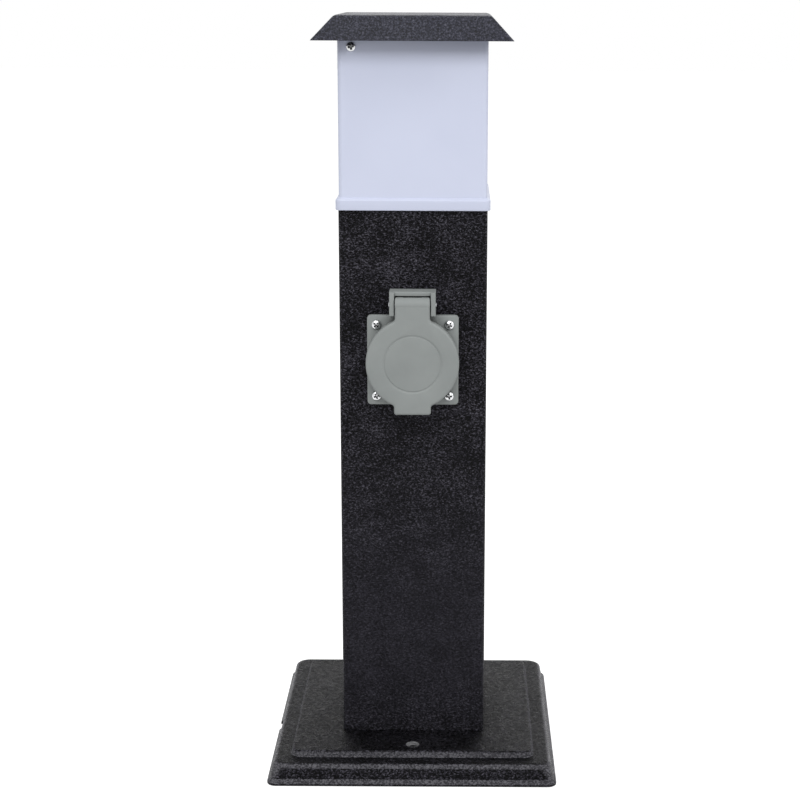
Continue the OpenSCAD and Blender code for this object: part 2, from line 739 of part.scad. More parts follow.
module terminal_block() {
    color("#e8e6df") difference() {
        union() {
            at_poles() cylinder(d = barrel_d, h = barrel_len, center = true);
            at_clamps() cylinder(d = tower_d, h = tower_len);
            for (x = [-1, 1]) translate([x * pole_pitch / 2, web_y - web_t / 2, block_z])
                cube([pole_pitch - insert_d, web_t, web_h], center = true);
        }
        at_poles() cylinder(d = insert_d + 2 * slip, h = barrel_len + 2 * eps, center = true);
        at_clamps() cylinder(d = clamp_head[0] + 2 * hole_play, h = tower_len + eps);
        for (x = [-1, 1]) translate([x * pole_pitch / 2, web_y + eps, block_z]) rotate([90, 0, 0])
            cylinder(d = block_screw_d + 2 * hole_play, h = web_t + 2 * eps);
    }
}

module terminal_inserts() {
    color("#c9a24a") difference() {
        at_poles() cylinder(d = insert_d, h = barrel_len - 2, center = true);
        at_poles() cylinder(d = insert_bore, h = barrel_len, center = true);
        at_clamps() cylinder(d = clamp_d + 2 * thread_play, h = insert_d);
    }
}

module terminal_screws() {
    seat = tower_len - clamp_sink - clamp_head[1];
    reach = seat - wire_d / 2 - slip;
    color("#b9bbbe") at_clamps() translate([0, 0, seat]) cross_screw(clamp_d, reach, clamp_head);
}

module block_screws() {
    color("#b9bbbe") for (x = [-1, 1])
        translate([x * pole_pitch / 2, web_y - web_t, block_z]) rotate([90, 0, 0])
            cross_screw(block_screw_d, web_t + plate_t + 1, block_head);
}

module earth_screw() {
    color("#b9bbbe") translate(earth_pos - [0, lug_step + lug_t, 0]) rotate([90, 0, 0])
        cross_screw(earth_d, lug_step + lug_t + plate_t + 2, earth_head);
}

module earth_lugs() {
    color("#c8cacc") for (i = [0, 1])
        translate(earth_pos - [0, i * lug_step, 0]) rotate([90, 0, 0]) rotate(-i * lug_turn) {
            difference() {
                union() {
                    cylinder(d = lug_d, h = lug_t);
                    translate([-lug_tube[0] / 2, 0, 0]) cube([lug_tube[0], lug_neck + 1, lug_t]);
                }
                translate([0, 0, -eps]) cylinder(d = earth_d + 2 * hole_play, h = lug_t + 2 * eps);
            }
            translate([0, lug_neck, lug_tube[0] / 2]) rotate([-90, 0, 0])
                difference() {
                    cylinder(d = lug_tube[0], h = lug_barrel);
                    translate([0, 0, 0.8]) cylinder(d = lug_tube[1], h = lug_barrel);
                }
        }
}

module socket_gasket() {
    color("#1b1b1d") at_socket() linear_extrude(gasket_t) difference() {
        rounded_square(flange_w - 2 * slip, flange_r);
        circle(well_r + well_wall + slip);
        at_flange_screws() circle(d = flange_screw_d + 2 * hole_play);
    }
}

module hinge_frame() {
    foot = collar_d / 2 + slip;
    translate([-arm_out, foot, gasket_t]) cube([2 * arm_out, frame_top - foot, flange_t]);
    arm_low = flange_w / 2 + arm_foot;
    for (x = [-arm_out, arm_in]) translate([x, arm_low, gasket_t])
        cube([arm_w, frame_top - arm_low, hinge_z + arm_reach - gasket_t]);
    translate([-arm_out, bar_low, gasket_t]) cube([2 * arm_out, bar_h, hinge_z - slip - gasket_t]);
}

module socket_frame() {
    color("#8e9392") at_socket() difference() {
        union() {
            translate([0, 0, gasket_t]) linear_extrude(flange_t) rounded_square(flange_w, flange_r);
            translate([0, 0, gasket_t]) cylinder(d = collar_d, h = collar_front - gasket_t);
            hinge_frame();
        }
        translate([0, 0, gasket_t - eps]) cylinder(r = well_r, h = collar_front - gasket_t + 2 * eps);
        translate([0, 0, gasket_t - eps]) cylinder(r = lip_r + slip, h = well_lip_t + eps);
        at_flange_screws() translate([0, 0, gasket_t - eps])
            cylinder(d = flange_screw_d + 2 * hole_play, h = flange_t + 2 * eps);
        translate([-arm_out - eps, hinge_up, hinge_z]) rotate([0, 90, 0])
            cylinder(d = pin_d + 2 * thread_play, h = 2 * arm_out + 2 * eps);
    }
}

module plug_well() {
    color("#8e9392") at_socket() difference() {
        union() {
            difference() {
                union() {
                    translate([0, 0, carrier_z])
                        cylinder(r = well_r + well_wall, h = well_top - carrier_z);
                    translate([0, 0, gasket_t]) cylinder(r = lip_r, h = well_lip_t);
                }
                translate([0, 0, floor_z]) cylinder(r = well_r, h = well_top - floor_z + eps);
            }
            for (side = [0, 180]) rotate(side) translate([well_r - rib_h, -rib_w / 2, floor_z - eps])
                cube([rib_h + well_wall / 2, rib_w, rib_run + eps]);
        }
        for (x = [-1, 1]) translate([x * pin_pitch / 2, 0, carrier_z - eps])
            cylinder(d = pin_hole_d, h = floor_t + 2 * eps);
        translate([0, 0, carrier_z - eps])
            cylinder(d = carrier_screw_d + 2 * hole_play, h = floor_t + 2 * eps);
        for (y = [-1, 1]) translate([0, y * (earth_y + earth_t / 2), floor_z - floor_t / 2])
            cube([earth_w + 2 * slip, earth_t + 2 * slip, floor_t + 2 * eps], center = true);
    }
}

module flange_screws() {
    color("#c8cacc") at_socket() at_flange_screws() translate([0, 0, flange_front])
        cross_screw(flange_screw_d, flange_screw_len, flange_head);
}

module contact_carrier() {
    color("#d8d6cf") at_socket() difference() {
        translate([-carrier_w / 2, -carrier_h / 2, carrier_back])
            cube([carrier_w, carrier_h, carrier_z - carrier_back]);
        for (x = [-1, 1]) translate([x * pin_pitch / 2, 0, 0]) {
            translate([0, 0, terminal_z - eps])
                cylinder(d = sleeve_d + 2 * slip, h = carrier_z - terminal_z + 2 * eps);
            translate([-channel_w / 2, -carrier_h / 2 - eps, carrier_back - eps])
                cube([channel_w, carrier_h + 2 * eps, terminal_z - carrier_back + slip]);
        }
        translate([-earth_w / 2 - slip, -carrier_h / 2 - eps, strap_z - slip])
            cube([earth_w + 2 * slip, carrier_h + 2 * eps, earth_t + slip + eps]);
        translate([0, 0, carrier_z - carrier_screw_len - 1])
            cylinder(d = carrier_screw_d + 2 * thread_play, h = carrier_screw_len + 2);
    }
}

module carrier_screw() {
    color("#c8cacc") at_socket() translate([0, 0, floor_z])
        cross_screw(carrier_screw_d, carrier_screw_len, carrier_head);
}

// A sleeve for one plug pin with its terminal cube, on x = 0
module pin_contact() {
    difference() {
        union() {
            translate([0, 0, terminal_z]) cylinder(d = sleeve_d, h = sleeve_len);
            translate([-terminal_w / 2, -terminal_w / 2, terminal_back])
                cube([terminal_w, terminal_w, terminal_len]);
        }
        translate([0, 0, terminal_z]) cylinder(d = sleeve_bore, h = sleeve_len + eps);
        translate([-slit_w / 2, 0, terminal_z + 1]) cube([slit_w, sleeve_d, sleeve_len]);
        translate([0, 0, wire_z]) rotate([90, 0, 0])
            cylinder(d = wire_hole_d, h = terminal_w + 2 * eps, center = true);
        translate([0, 0, terminal_back - eps])
            cylinder(d = clamp_d + 2 * thread_play, h = wire_z - terminal_back);
    }
}

module live_contact() {
    color("#c9a24a") at_socket() translate([-pin_pitch / 2, 0, 0]) pin_contact();
}

module neutral_contact() {
    color("#c9a24a") at_socket() translate([pin_pitch / 2, 0, 0]) pin_contact();
}

module earth_clip() {
    low = [-earth_w / 2, strap_low, strap_z];
    color("#c9a24a") at_socket() difference() {
        union() {
            translate(low) cube([earth_w, earth_y + earth_t - strap_low, earth_t]);
            for (y = [-1, 1]) translate([-earth_w / 2, y * (earth_y + earth_t / 2) - earth_t / 2, strap_z])
                cube([earth_w, earth_t, earth_arm + floor_t + earth_t]);
            translate([-earth_w / 2, strap_low, terminal_z - eps])
                cube([earth_w, earth_t, strap_z - terminal_z + 2 * eps]);
            translate([-terminal_w / 2, strap_low, terminal_back])
                cube([terminal_w, terminal_w, terminal_len]);
        }
        translate([0, 0, strap_z - eps])
            cylinder(d = carrier_screw_d + 2 * hole_play, h = earth_t + 2 * eps);
        translate([0, earth_cube_y, wire_z]) rotate([90, 0, 0])
            cylinder(d = wire_hole_d, h = terminal_w + 2 * eps, center = true);
        translate([0, earth_cube_y, terminal_back - eps])
            cylinder(d = clamp_d + 2 * thread_play, h = wire_z - terminal_back);
    }
}

module contact_screws() {
    reach = wire_z - wire_d / 2 - slip - terminal_back;
    places = [[-pin_pitch / 2, 0], [pin_pitch / 2, 0], [0, earth_cube_y]];
    color("#b9bbbe") at_socket() for (p = places) translate([p[0], p[1], terminal_back])
        rotate([180, 0, 0]) cross_screw(clamp_d, reach, clamp_head);
}

module hinge_pin() {
    color("#c8cacc") at_socket() translate([-arm_out - pin_out, hinge_up, hinge_z]) rotate([0, 90, 0])
        cylinder(d = pin_d, h = 2 * (arm_out + pin_out));
}

module hinge_spring() {
    color("#b9bbbe") at_socket() translate([0, hinge_up, hinge_z])
        tube(spring_path(), spring_wire, 6);
}

module socket_lid() {
    lid_r = lid_d / 2;
    rim_r = lid_r - lid_rim;
    disc = concat([[0, lid_inside], [rim_r, lid_inside], [rim_r, lid_back], [lid_r, lid_back]],
        arc(lid_r - lid_edge_r, lid_front - lid_edge_r, lid_edge_r, 0, 90),
        [[field_d / 2 + field_deep, lid_front], [field_d / 2, lid_front - field_deep],
            [0, lid_front - field_deep]]);
    tab_low = lid_r + tab_len;
    root = field_d / 2 + 2 * field_deep;
    color("#8b9190") at_socket() difference() {
        union() {
            rotate_extrude() polygon(disc);
            translate([-tongue_w / 2, root, lid_inside]) cube([tongue_w, lid_r - root, lid_face]);
            translate([-tongue_w / 2, rim_r, lid_front - tongue_t])
                cube([tongue_w, hinge_up - rim_r, tongue_t]);
            translate([-tongue_w / 2, hinge_up, hinge_z]) rotate([0, 90, 0])
                cylinder(r = knuckle_r, h = tongue_w);
            translate([-tab_w / 2, -lid_r, lid_inside]) cube([tab_w, lid_r - root, lid_face]);
            translate([0, 0, lid_front - tab_t]) linear_extrude(tab_t) {
                translate([-tab_w / 2, -tab_low + tab_r]) square([tab_w, tab_low - tab_r - rim_r]);
                translate([-tab_w / 2 + tab_r, -tab_low]) square([tab_w - 2 * tab_r, 2 * tab_r]);
                for (x = [-1, 1]) translate([x * (tab_w / 2 - tab_r), -tab_low + tab_r]) circle(tab_r);
            }
        }
        translate([-tongue_w / 2 - eps, hinge_up, hinge_z]) rotate([0, 90, 0])
            cylinder(d = pin_d + 2 * pin_play, h = tongue_w + 2 * eps);
        translate([-spring_gap_w / 2, hinge_up, hinge_z]) rotate([0, 90, 0])
            cylinder(r = spring_pocket_r, h = spring_gap_w);
        translate([-spring_gap_w / 2, hinge_up - knuckle_r - eps, hinge_z - knuckle_r - eps])
            cube([spring_gap_w, 2 * knuckle_r + 2 * eps, knuckle_r + spring_relief]);
    }
}

module lid_gasket() {
    seal_r = lid_d / 2 - lid_rim - slip;
    low = collar_front + seal_gap;
    color("#1b1b1d") at_socket() translate([0, 0, low]) difference() {
        cylinder(r = seal_r, h = lid_inside - low);
        translate([0, 0, -eps]) cylinder(r = seal_r - lid_seal_w, h = lid_inside - low + 2 * eps);
    }
}

module lamp_bracket() {
    tab_top = boss_z + boss_d / 2 + 1;
    color("#8d8f92") difference() {
        union() {
            translate([-inner, -bracket_d / 2, bracket_top - bracket_t])
                cube([2 * inner, bracket_d, bracket_t]);
            for (side = [0, 180]) rotate(side) {
                translate([inner - bracket_t, -bracket_d / 2, bracket_top - bracket_leg])
                    cube([bracket_t, bracket_d, bracket_leg]);
                translate([tab_x - bracket_t, -tab_d / 2, bracket_top - bracket_t])
                    cube([bracket_t, tab_d, tab_top - bracket_top + bracket_t]);
            }
        }
        translate([0, 0, bracket_top - 2 * bracket_t])
            cylinder(d = nipple_d + 2 * thread_play, h = 3 * bracket_t);
        for (side = [0, 180]) rotate(side) translate([tab_x - bracket_t - eps, 0, boss_z]) rotate([0, 90, 0])
            cylinder(d = shade_screw_d + 2 * hole_play, h = bracket_t + 2 * eps);
    }
}

module holder_nipple() {
    low = bracket_top - bracket_t - nipple_nut_h - 2;
    color("#c8cacc") translate([0, 0, low]) difference() {
        cylinder(d = nipple_d, h = chamber_z - 5 - low);
        translate([0, 0, -eps]) cylinder(d = nipple_bore, h = chamber_z);
    }
}

module nipple_nut() {
    color("#a9abae") translate([0, 0, bracket_top - bracket_t - nipple_nut_h])
        hex_nut([1.65 * nipple_d, nipple_nut_h], nipple_d + 2 * thread_play);
}

module lamp_holder() {
    thread_r = thread_d / 2 + thread_wall + slip;
    color("#ece9e2") translate([0, 0, bracket_top]) difference() {
        cylinder(d = holder_d, h = holder_h);
        translate([0, 0, holder_floor + chamber_h]) cylinder(r = thread_r, h = holder_h);
        translate([0, 0, holder_floor]) cylinder(d = chamber_d, h = holder_h);
        translate([0, 0, -eps]) cylinder(d = nipple_d + 2 * thread_play, h = holder_h);
    }
}

module thread_shell() {
    leg_x = chamber_d / 2 - 2.5;
    color("#c9a24a") {
        translate([0, 0, step_z]) difference() {
            cylinder(d = thread_d + 2 * thread_wall, h = thread_h);
            translate([0, 0, -eps]) cylinder(d = thread_d, h = thread_h + 2 * eps);
        }
        translate([leg_x, -leaf_w / 2, step_z])
            cube([thread_d / 2 + thread_wall / 2 - leg_x, leaf_w, leaf_t]);
        translate([leg_x, -leaf_w / 2, chamber_z])
            cube([leaf_t, leaf_w, chamber_h + leaf_t]);
    }
}

module centre_contact() {
    leg_x = -chamber_d / 2 + 1.5;
    color("#c9a24a") {
        translate([leg_x, -leaf_w / 2, leaf_z]) cube([-leg_x + leaf_w / 2, leaf_w, leaf_t]);
        translate([leg_x, -leaf_w / 2, chamber_z]) cube([leaf_t, leaf_w, leaf_z - chamber_z + leaf_t]);
    }
}

module bulb_base() {
    r = bulb_base_d / 2;
    color("#c4c6c8") rotate_extrude() polygon([[0, bulb_tip], [4.5, bulb_tip], [5, bulb_tip + 1.5],
        [r - 2, step_z + 2], [r, step_z + 4], [r, bulb_neck], [0, bulb_neck]]);
}

module bulb_globe() {
    neck_r = bulb_base_d / 2 - slip;
    hip_z = bulb_z - 0.35 * bulb_d;
    hip_r = 0.35 * bulb_d;
    color("#f4f3ee") difference() {
        union() {
            translate([0, 0, bulb_z]) sphere(d = bulb_d);
            translate([0, 0, bulb_neck]) cylinder(r1 = neck_r, r2 = hip_r, h = hip_z - bulb_neck);
        }
        translate([0, 0, bulb_z]) sphere(d = bulb_d - 2 * bulb_wall);
        translate([0, 0, bulb_neck - eps])
            cylinder(r1 = neck_r - bulb_wall, r2 = hip_r - bulb_wall, h = hip_z - bulb_neck + 2 * eps);
    }
}

module shade_seal() {
    color("#1b1b1d") translate([0, 0, post_top]) linear_extrude(seal_t) difference() {
        rounded_square(post_w - 2 * slip, post_corner_r);
        square(post_w - 2 * seal_w, center = true);
    }
}

module at_cap_screws() {
    for (side = [0, 180]) rotate(side)
        translate([-cap_screw_x, -shade_w / 2, cap_screw_z]) rotate([90, 0, 0]) children();
}

module shade() {
    lap_in = post_w / 2 + skirt_gap;
    lap_out = lap_in + skirt_wall;
    corner_r = post_corner_r + skirt_gap + skirt_wall;
    lap = shade_wall / 2;
    skirt = shifted([[lap_in, -skirt_lap], [lap_out, -skirt_lap], [lap_out, shoulder_t - skirt_bevel],
        [lap_out - skirt_bevel, shoulder_t], [lap_out - corner_r, shoulder_t], [lap_out - corner_r, 0],
        [lap_in, 0]], corner_r - lap_out);
    color("#dfe2ee") difference() {
        union() {
            translate([0, 0, shoulder_z]) square_sweep(lap_out, corner_r, skirt);
            translate([0, 0, shoulder_z]) linear_extrude(shade_h) difference() {
                rounded_square(shade_w, shade_corner_r);
                square(2 * shade_in, center = true);
            }
            for (side = [0, 180]) rotate(side) translate([tab_x, 0, boss_z]) rotate([0, 90, 0])
                cylinder(d = boss_d, h = boss_len + lap);
        }
        for (side = [0, 180]) rotate(side) translate([tab_x - eps, 0, boss_z]) rotate([0, 90, 0])
            cylinder(d = shade_screw_d + 2 * thread_play, h = boss_len + shade_wall / 4);
        at_cap_screws() translate([0, 0, -shade_wall - eps])
            cylinder(d = cap_screw_d + 2 * hole_play, h = shade_wall + 2 * eps);
    }
}

module shade_screws() {
    color("#b9bbbe") for (side = [0, 180]) rotate(side)
        translate([tab_x - bracket_t, 0, boss_z]) rotate([0, -90, 0])
            cross_screw(shade_screw_d, bracket_t + boss_len, shade_head);
}

// Half outline of the cap's section, doubled: a sloping side, a rounded edge and a flat top
function cap_outline(half, top_half, h, r) =
    let (run = half - top_half, slope = sqrt(run * run + h * h), nx = h / slope, ny = run / slope,
        cx = half - (r + ny * (h - r)) / nx,
        side = concat([[half, 0]], arc(cx, h - r, r, atan2(ny, nx), 90)))
    concat(side, [for (i = [len(side) - 1:-1:0]) [-side[i][0], side[i][1]]]);

// The cap's form: its section carried both ways
module cap_form(outline) {
    intersection() {
        rotate([90, 0, 0]) linear_extrude(2 * cap_w, center = true) polygon(outline);
        rotate([90, 0, 90]) linear_extrude(2 * cap_w, center = true) polygon(outline);
    }
}

module roof_cap() {
    run = (cap_w - cap_top_w) / 2;
    wall_x = cap_wall * sqrt(run * run + cap_h * cap_h) / cap_h;
    in_h = cap_h - cap_wall;
    in_half = cap_w / 2 - wall_x;
    color("#3f4047") translate([0, 0, cap_z]) difference() {
        cap_form(cap_outline(cap_w / 2, cap_top_w / 2, cap_h, cap_edge_r));
        cap_form(cap_outline(in_half, in_half - run * in_h / cap_h, in_h, max(cap_edge_r - cap_wall, 0.3)));
        translate([0, 0, -1]) linear_extrude(1 + eps) square(2 * in_half, center = true);
    }
}

module cap_brackets() {
    leg_y = -shade_in + slip;
    low_x = -shade_in + slip;
    rim_lap = 0.4 * shade_wall;
    color("#8d8f92") for (side = [0, 180]) rotate(side) difference() {
        union() {
            translate([low_x, leg_y - slip - rim_lap, rim_z])
                cube([cap_bracket_w, slip + rim_lap + cap_bracket_d, cap_bracket_t]);
            translate([low_x, leg_y, rim_z - cap_bracket_h])
                cube([cap_bracket_w, cap_bracket_t, cap_bracket_h + eps]);
        }
        translate([-cap_screw_x, leg_y - eps, cap_screw_z]) rotate([-90, 0, 0])
            cylinder(d = cap_screw_d + 2 * thread_play, h = cap_bracket_t + 2 * eps);
    }
}

module cap_screws() {
    color("#c8cacc") at_cap_screws() cross_screw(cap_screw_d, cap_screw_len, cap_head);
}

module live_wires() {
    color("#6b3d22") for (route = [live_feed, live_lamp]) tube(curve(route, 3 * wire_d), wire_d);
}

module neutral_wires() {
    color("#2f5fa8") for (route = [neutral_feed, neutral_lamp]) tube(curve(route, 3 * wire_d), wire_d);
}

module earth_wires() {
    color("#7fa832") {
        tube(curve(earth_feed, 3 * wire_d), wire_d);
        tube(curve(earth_loop, 2 * wire_d), wire_d, across = [0, 1, 0]);
    }
}

base_plate();
cable_grommet();
post_tube();
foot_angles();
foot_nuts();
base_screws();
wiring_plate();
terminal_block();
terminal_inserts();
terminal_screws();
block_screws();
earth_screw();
earth_lugs();
socket_gasket();
plug_well();
socket_frame();
flange_screws();
contact_carrier();
carrier_screw();
live_contact();
neutral_contact();
earth_clip();
contact_screws();
hinge_pin();
hinge_spring();
socket_lid();
lid_gasket();
lamp_bracket();
holder_nipple();
nipple_nut();
lamp_holder();
thread_shell();
centre_contact();
bulb_base();
bulb_globe();
shade_seal();
shade();
shade_screws();
roof_cap();
cap_brackets();
cap_screws();
live_wires();
neutral_wires();
earth_wires();
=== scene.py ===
# Garden socket post: the visible pieces, their finishes and the studio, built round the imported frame.
# Sizes are in millimetres until a mesh is made, in the frame's own axes: +Z up, the front faces -Y.
import math

import bmesh
import bpy
from mathutils import Matrix, Vector


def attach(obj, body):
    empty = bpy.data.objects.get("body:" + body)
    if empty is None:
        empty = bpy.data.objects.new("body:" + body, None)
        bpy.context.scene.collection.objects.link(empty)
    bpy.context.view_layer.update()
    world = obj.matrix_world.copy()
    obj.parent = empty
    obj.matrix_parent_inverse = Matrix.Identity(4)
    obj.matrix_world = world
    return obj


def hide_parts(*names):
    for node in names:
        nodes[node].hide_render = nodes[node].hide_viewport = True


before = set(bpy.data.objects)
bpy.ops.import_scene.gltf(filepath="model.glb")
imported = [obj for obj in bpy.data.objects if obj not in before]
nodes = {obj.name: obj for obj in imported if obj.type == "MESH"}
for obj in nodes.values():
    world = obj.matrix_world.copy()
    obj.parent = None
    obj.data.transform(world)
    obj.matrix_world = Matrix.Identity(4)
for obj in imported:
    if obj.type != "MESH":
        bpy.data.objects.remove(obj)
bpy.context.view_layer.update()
scene = bpy.context.scene


# Base plate: one sheet of 2 mm steel pressed into a raised panel, a ledge and a flared skirt.
# Two drawn holes take ground anchors and an arch in the left skirt lets the cord in.
# It is coated after pressing with the same black wrinkle powder as the tube.
def rounded_path(corners, steps=6):
    """A line's points through (x, z, radius) corners, each rounded; a corner's other values go with them."""
    path = []
    for i, (x, z, radius, *rest) in enumerate(corners):
        here = Vector((x, z))
        if radius == 0 or i in (0, len(corners) - 1):
            path.append((x, z, *rest))
            continue
        back = (Vector(corners[i - 1][:2]) - here).normalized()
        onward = (Vector(corners[i + 1][:2]) - here).normalized()
        half = back.angle(onward) / 2
        start = here + back * (radius / math.tan(half))
        centre = here + (back + onward).normalized() * (radius / math.sin(half))
        arm = start - centre
        turn = (math.pi - 2 * half) / steps
        if back.cross(onward) > 0:
            turn = -turn
        for k in range(steps + 1):
            c, s = math.cos(turn * k), math.sin(turn * k)
            path.append((centre.x + c * arm.x - s * arm.y, centre.y + s * arm.x + c * arm.y, *rest))
    return path


def square_ring(half, corner_r, z, steps=6):
    """A level ring of points round a square with rounded corners."""
    ring = []
    for quarter in range(4):
        turn = math.radians(90 * quarter)
        for k in range(steps + 1):
            a = math.radians(90 * k / steps)
            x = half - corner_r + corner_r * math.cos(a)
            y = half - corner_r + corner_r * math.sin(a)
            c, s = math.cos(turn), math.sin(turn)
            ring.append((x * c - y * s, x * s + y * c, z))
    return ring


def round_ring(r, z, steps=64):
    """A level ring of points round a circle."""
    angles = [math.tau * k / steps for k in range(steps)]
    return [(r * math.cos(a), r * math.sin(a), z) for a in angles]


def skin(name, rings, closed=False):
    """A piece whose surface runs from ring to ring, with its two ends covered or joined to each other."""
    n, count = len(rings[0]), len(rings)
    points = [[c / 1000 for c in p] for ring in rings for p in ring]
    faces = []
    for i in range(count if closed else count - 1):
        here, there = i * n, (i + 1) % count * n
        faces += [[here + k, here + (k + 1) % n, there + (k + 1) % n, there + k] for k in range(n)]
    if not closed:
        faces.append(list(range(n))[::-1])
        faces.append([(count - 1) * n + k for k in range(n)])
    mesh = bpy.data.meshes.new(name)
    mesh.from_pydata(points, [], faces)
    piece = bpy.data.objects.new(name, mesh)
    scene.collection.objects.link(piece)
    work = bmesh.new()
    work.from_mesh(mesh)
    bmesh.ops.remove_doubles(work, verts=work.verts, dist=1e-6)
    bmesh.ops.recalc_face_normals(work, faces=work.faces)
    work.to_mesh(mesh)
    work.free()
    return piece


def carve(piece, tools, how="DIFFERENCE"):
    """Cuts the tools out of a piece, or joins them to it, and takes the tools away."""
    for tool in tools:
        step = piece.modifiers.new("carve", "BOOLEAN")
        step.operation = how
        step.solver = "EXACT"
        step.object = tool
    bpy.context.view_layer.update()
    done = bpy.data.meshes.new_from_object(piece.evaluated_get(bpy.context.evaluated_depsgraph_get()))
    piece.modifiers.clear()
    piece.data = done
    for tool in tools:
        bpy.data.objects.remove(tool)
    return piece


def soften(piece, degrees=32):
    """Smooth shading over bends gentler than the given angle, with a crease at the sharper ones."""
    work = bmesh.new()
    work.from_mesh(piece.data)
    bmesh.ops.remove_doubles(work, verts=work.verts, dist=2e-6)
    bmesh.ops.dissolve_degenerate(work, edges=work.edges, dist=2e-6)
    for face in work.faces:
        face.smooth = True
    for edge in work.edges:
        edge.smooth = len(edge.link_faces) == 2 and edge.calc_face_angle(0) < math.radians(degrees)
    work.to_mesh(piece.data)
    work.free()
    return piece


def dress(piece, material, slot, body, *replaced):
    """Gives a piece its finish, the body it rides on and the nodes it stands for; the slot is not used."""
    piece.data.materials.clear()
    piece.data.materials.append(material)
    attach(piece, body)
    if replaced:
        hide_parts(*replaced)
    return piece


def new_finish(name):
    """A fresh material with the shader, and a placing node that gives points in metres."""
    material = bpy.data.materials.new(name)
    material.use_nodes = True
    tree = material.node_tree
    place = tree.nodes.new("ShaderNodeTexCoord").outputs["Object"]
    return material, tree, tree.nodes["Principled BSDF"], place


def noise(tree, place, scale, detail=3.0, roughness=0.55, distortion=0.0, stretch=(1, 1, 1)):
    """A noise over the surface, with its grain stretched along an axis by a number below one."""
    mapping = tree.nodes.new("ShaderNodeMapping")
    mapping.inputs["Scale"].default_value = stretch
    tree.links.new(place, mapping.inputs["Vector"])
    grain = tree.nodes.new("ShaderNodeTexNoise")
    grain.inputs["Scale"].default_value = scale
    grain.inputs["Detail"].default_value = detail
    grain.inputs["Roughness"].default_value = roughness
    grain.inputs["Distortion"].default_value = distortion
    tree.links.new(mapping.outputs["Vector"], grain.inputs["Vector"])
    return grain.outputs["Fac"]


def ramp(tree, source, stops):
    """Colours along a value from 0 to 1."""
    steps = tree.nodes.new("ShaderNodeValToRGB")
    tree.links.new(source, steps.inputs["Fac"])
    elements = steps.color_ramp.elements
    while len(elements) < len(stops):
        elements.new(0.5)
    for element, (place, colour) in zip(elements, stops):
        element.position = place
        element.color = (*colour, 1)
    return steps.outputs["Color"]


def spread(tree, source, low, high):
    """A value spread from 0.3..0.7 to the range low..high."""
    change = tree.nodes.new("ShaderNodeMapRange")
    change.inputs["From Min"].default_value = 0.3
    change.inputs["From Max"].default_value = 0.7
    change.inputs["To Min"].default_value = low
    change.inputs["To Max"].default_value = high
    tree.links.new(source, change.inputs["Value"])
    return change.outputs["Result"]


def bump(tree, shader, source, depth, strength=1.0, under=None):
    """Raises the surface by a height, a depth in metres, over another bump if one is given."""
    relief = tree.nodes.new("ShaderNodeBump")
    relief.inputs["Strength"].default_value = strength
    relief.inputs["Distance"].default_value = depth
    tree.links.new(source, relief.inputs["Height"])
    if under:
        tree.links.new(under, relief.inputs["Normal"])
    tree.links.new(relief.outputs["Normal"], shader.inputs["Normal"])
    return relief.outputs["Normal"]


def slope(tree, stops):
    """A tone by how far a surface faces upwards, from upright at 0 to level at 1."""
    facing = tree.nodes.new("ShaderNodeSeparateXYZ")
    tree.links.new(tree.nodes.new("ShaderNodeNewGeometry").outputs["Normal"], facing.inputs["Vector"])
    return ramp(tree, facing.outputs["Z"], [(place, (tone, tone, tone)) for place, tone in stops])


def height(tree, place, stops):
    """A tone by how high a point is above the floor, from 0 at the floor to 1 at half a metre."""
    halves = tree.nodes.new("ShaderNodeVectorMath")
    halves.operation = "SCALE"
    halves.inputs["Scale"].default_value = 2
    tree.links.new(place, halves.inputs["Vector"])
    apart = tree.nodes.new("ShaderNodeSeparateXYZ")
    tree.links.new(halves.outputs["Vector"], apart.inputs["Vector"])
    return ramp(tree, apart.outputs["Z"], [(z, (tone, tone, tone)) for z, tone in stops])


def round_spots(tree, place, across, along, stops):
    """A tone by the distance from two upright axes, in front and behind, from 0 to 1 at a centimetre."""
    step, per_metre = place, 100
    centre = (across * per_metre, along * per_metre, 0)
    for action, values in (("ABSOLUTE", None), ("MULTIPLY", (per_metre, per_metre, 0)), ("DISTANCE", centre)):
        node = tree.nodes.new("ShaderNodeVectorMath")
        node.operation = action
        tree.links.new(step, node.inputs[0])
        if values:
            node.inputs[1].default_value = values
        step = node.outputs["Value" if action == "DISTANCE" else "Vector"]
    return ramp(tree, step, [(r, (tone, tone, tone)) for r, tone in stops])


def blend_colours(tree, a, b, amount, how="MIX"):
    """Two colours mixed by an amount, which is a number or another node's value."""
    mix = tree.nodes.new("ShaderNodeMix")
    mix.data_type = "RGBA"
    mix.blend_type = how
    tree.links.new(a, mix.inputs["A"])
    tree.links.new(b, mix.inputs["B"])
    if isinstance(amount, (int, float)):
        mix.inputs["Factor"].default_value = amount
    else:
        tree.links.new(amount, mix.inputs["Factor"])
    return mix.outputs["Result"]


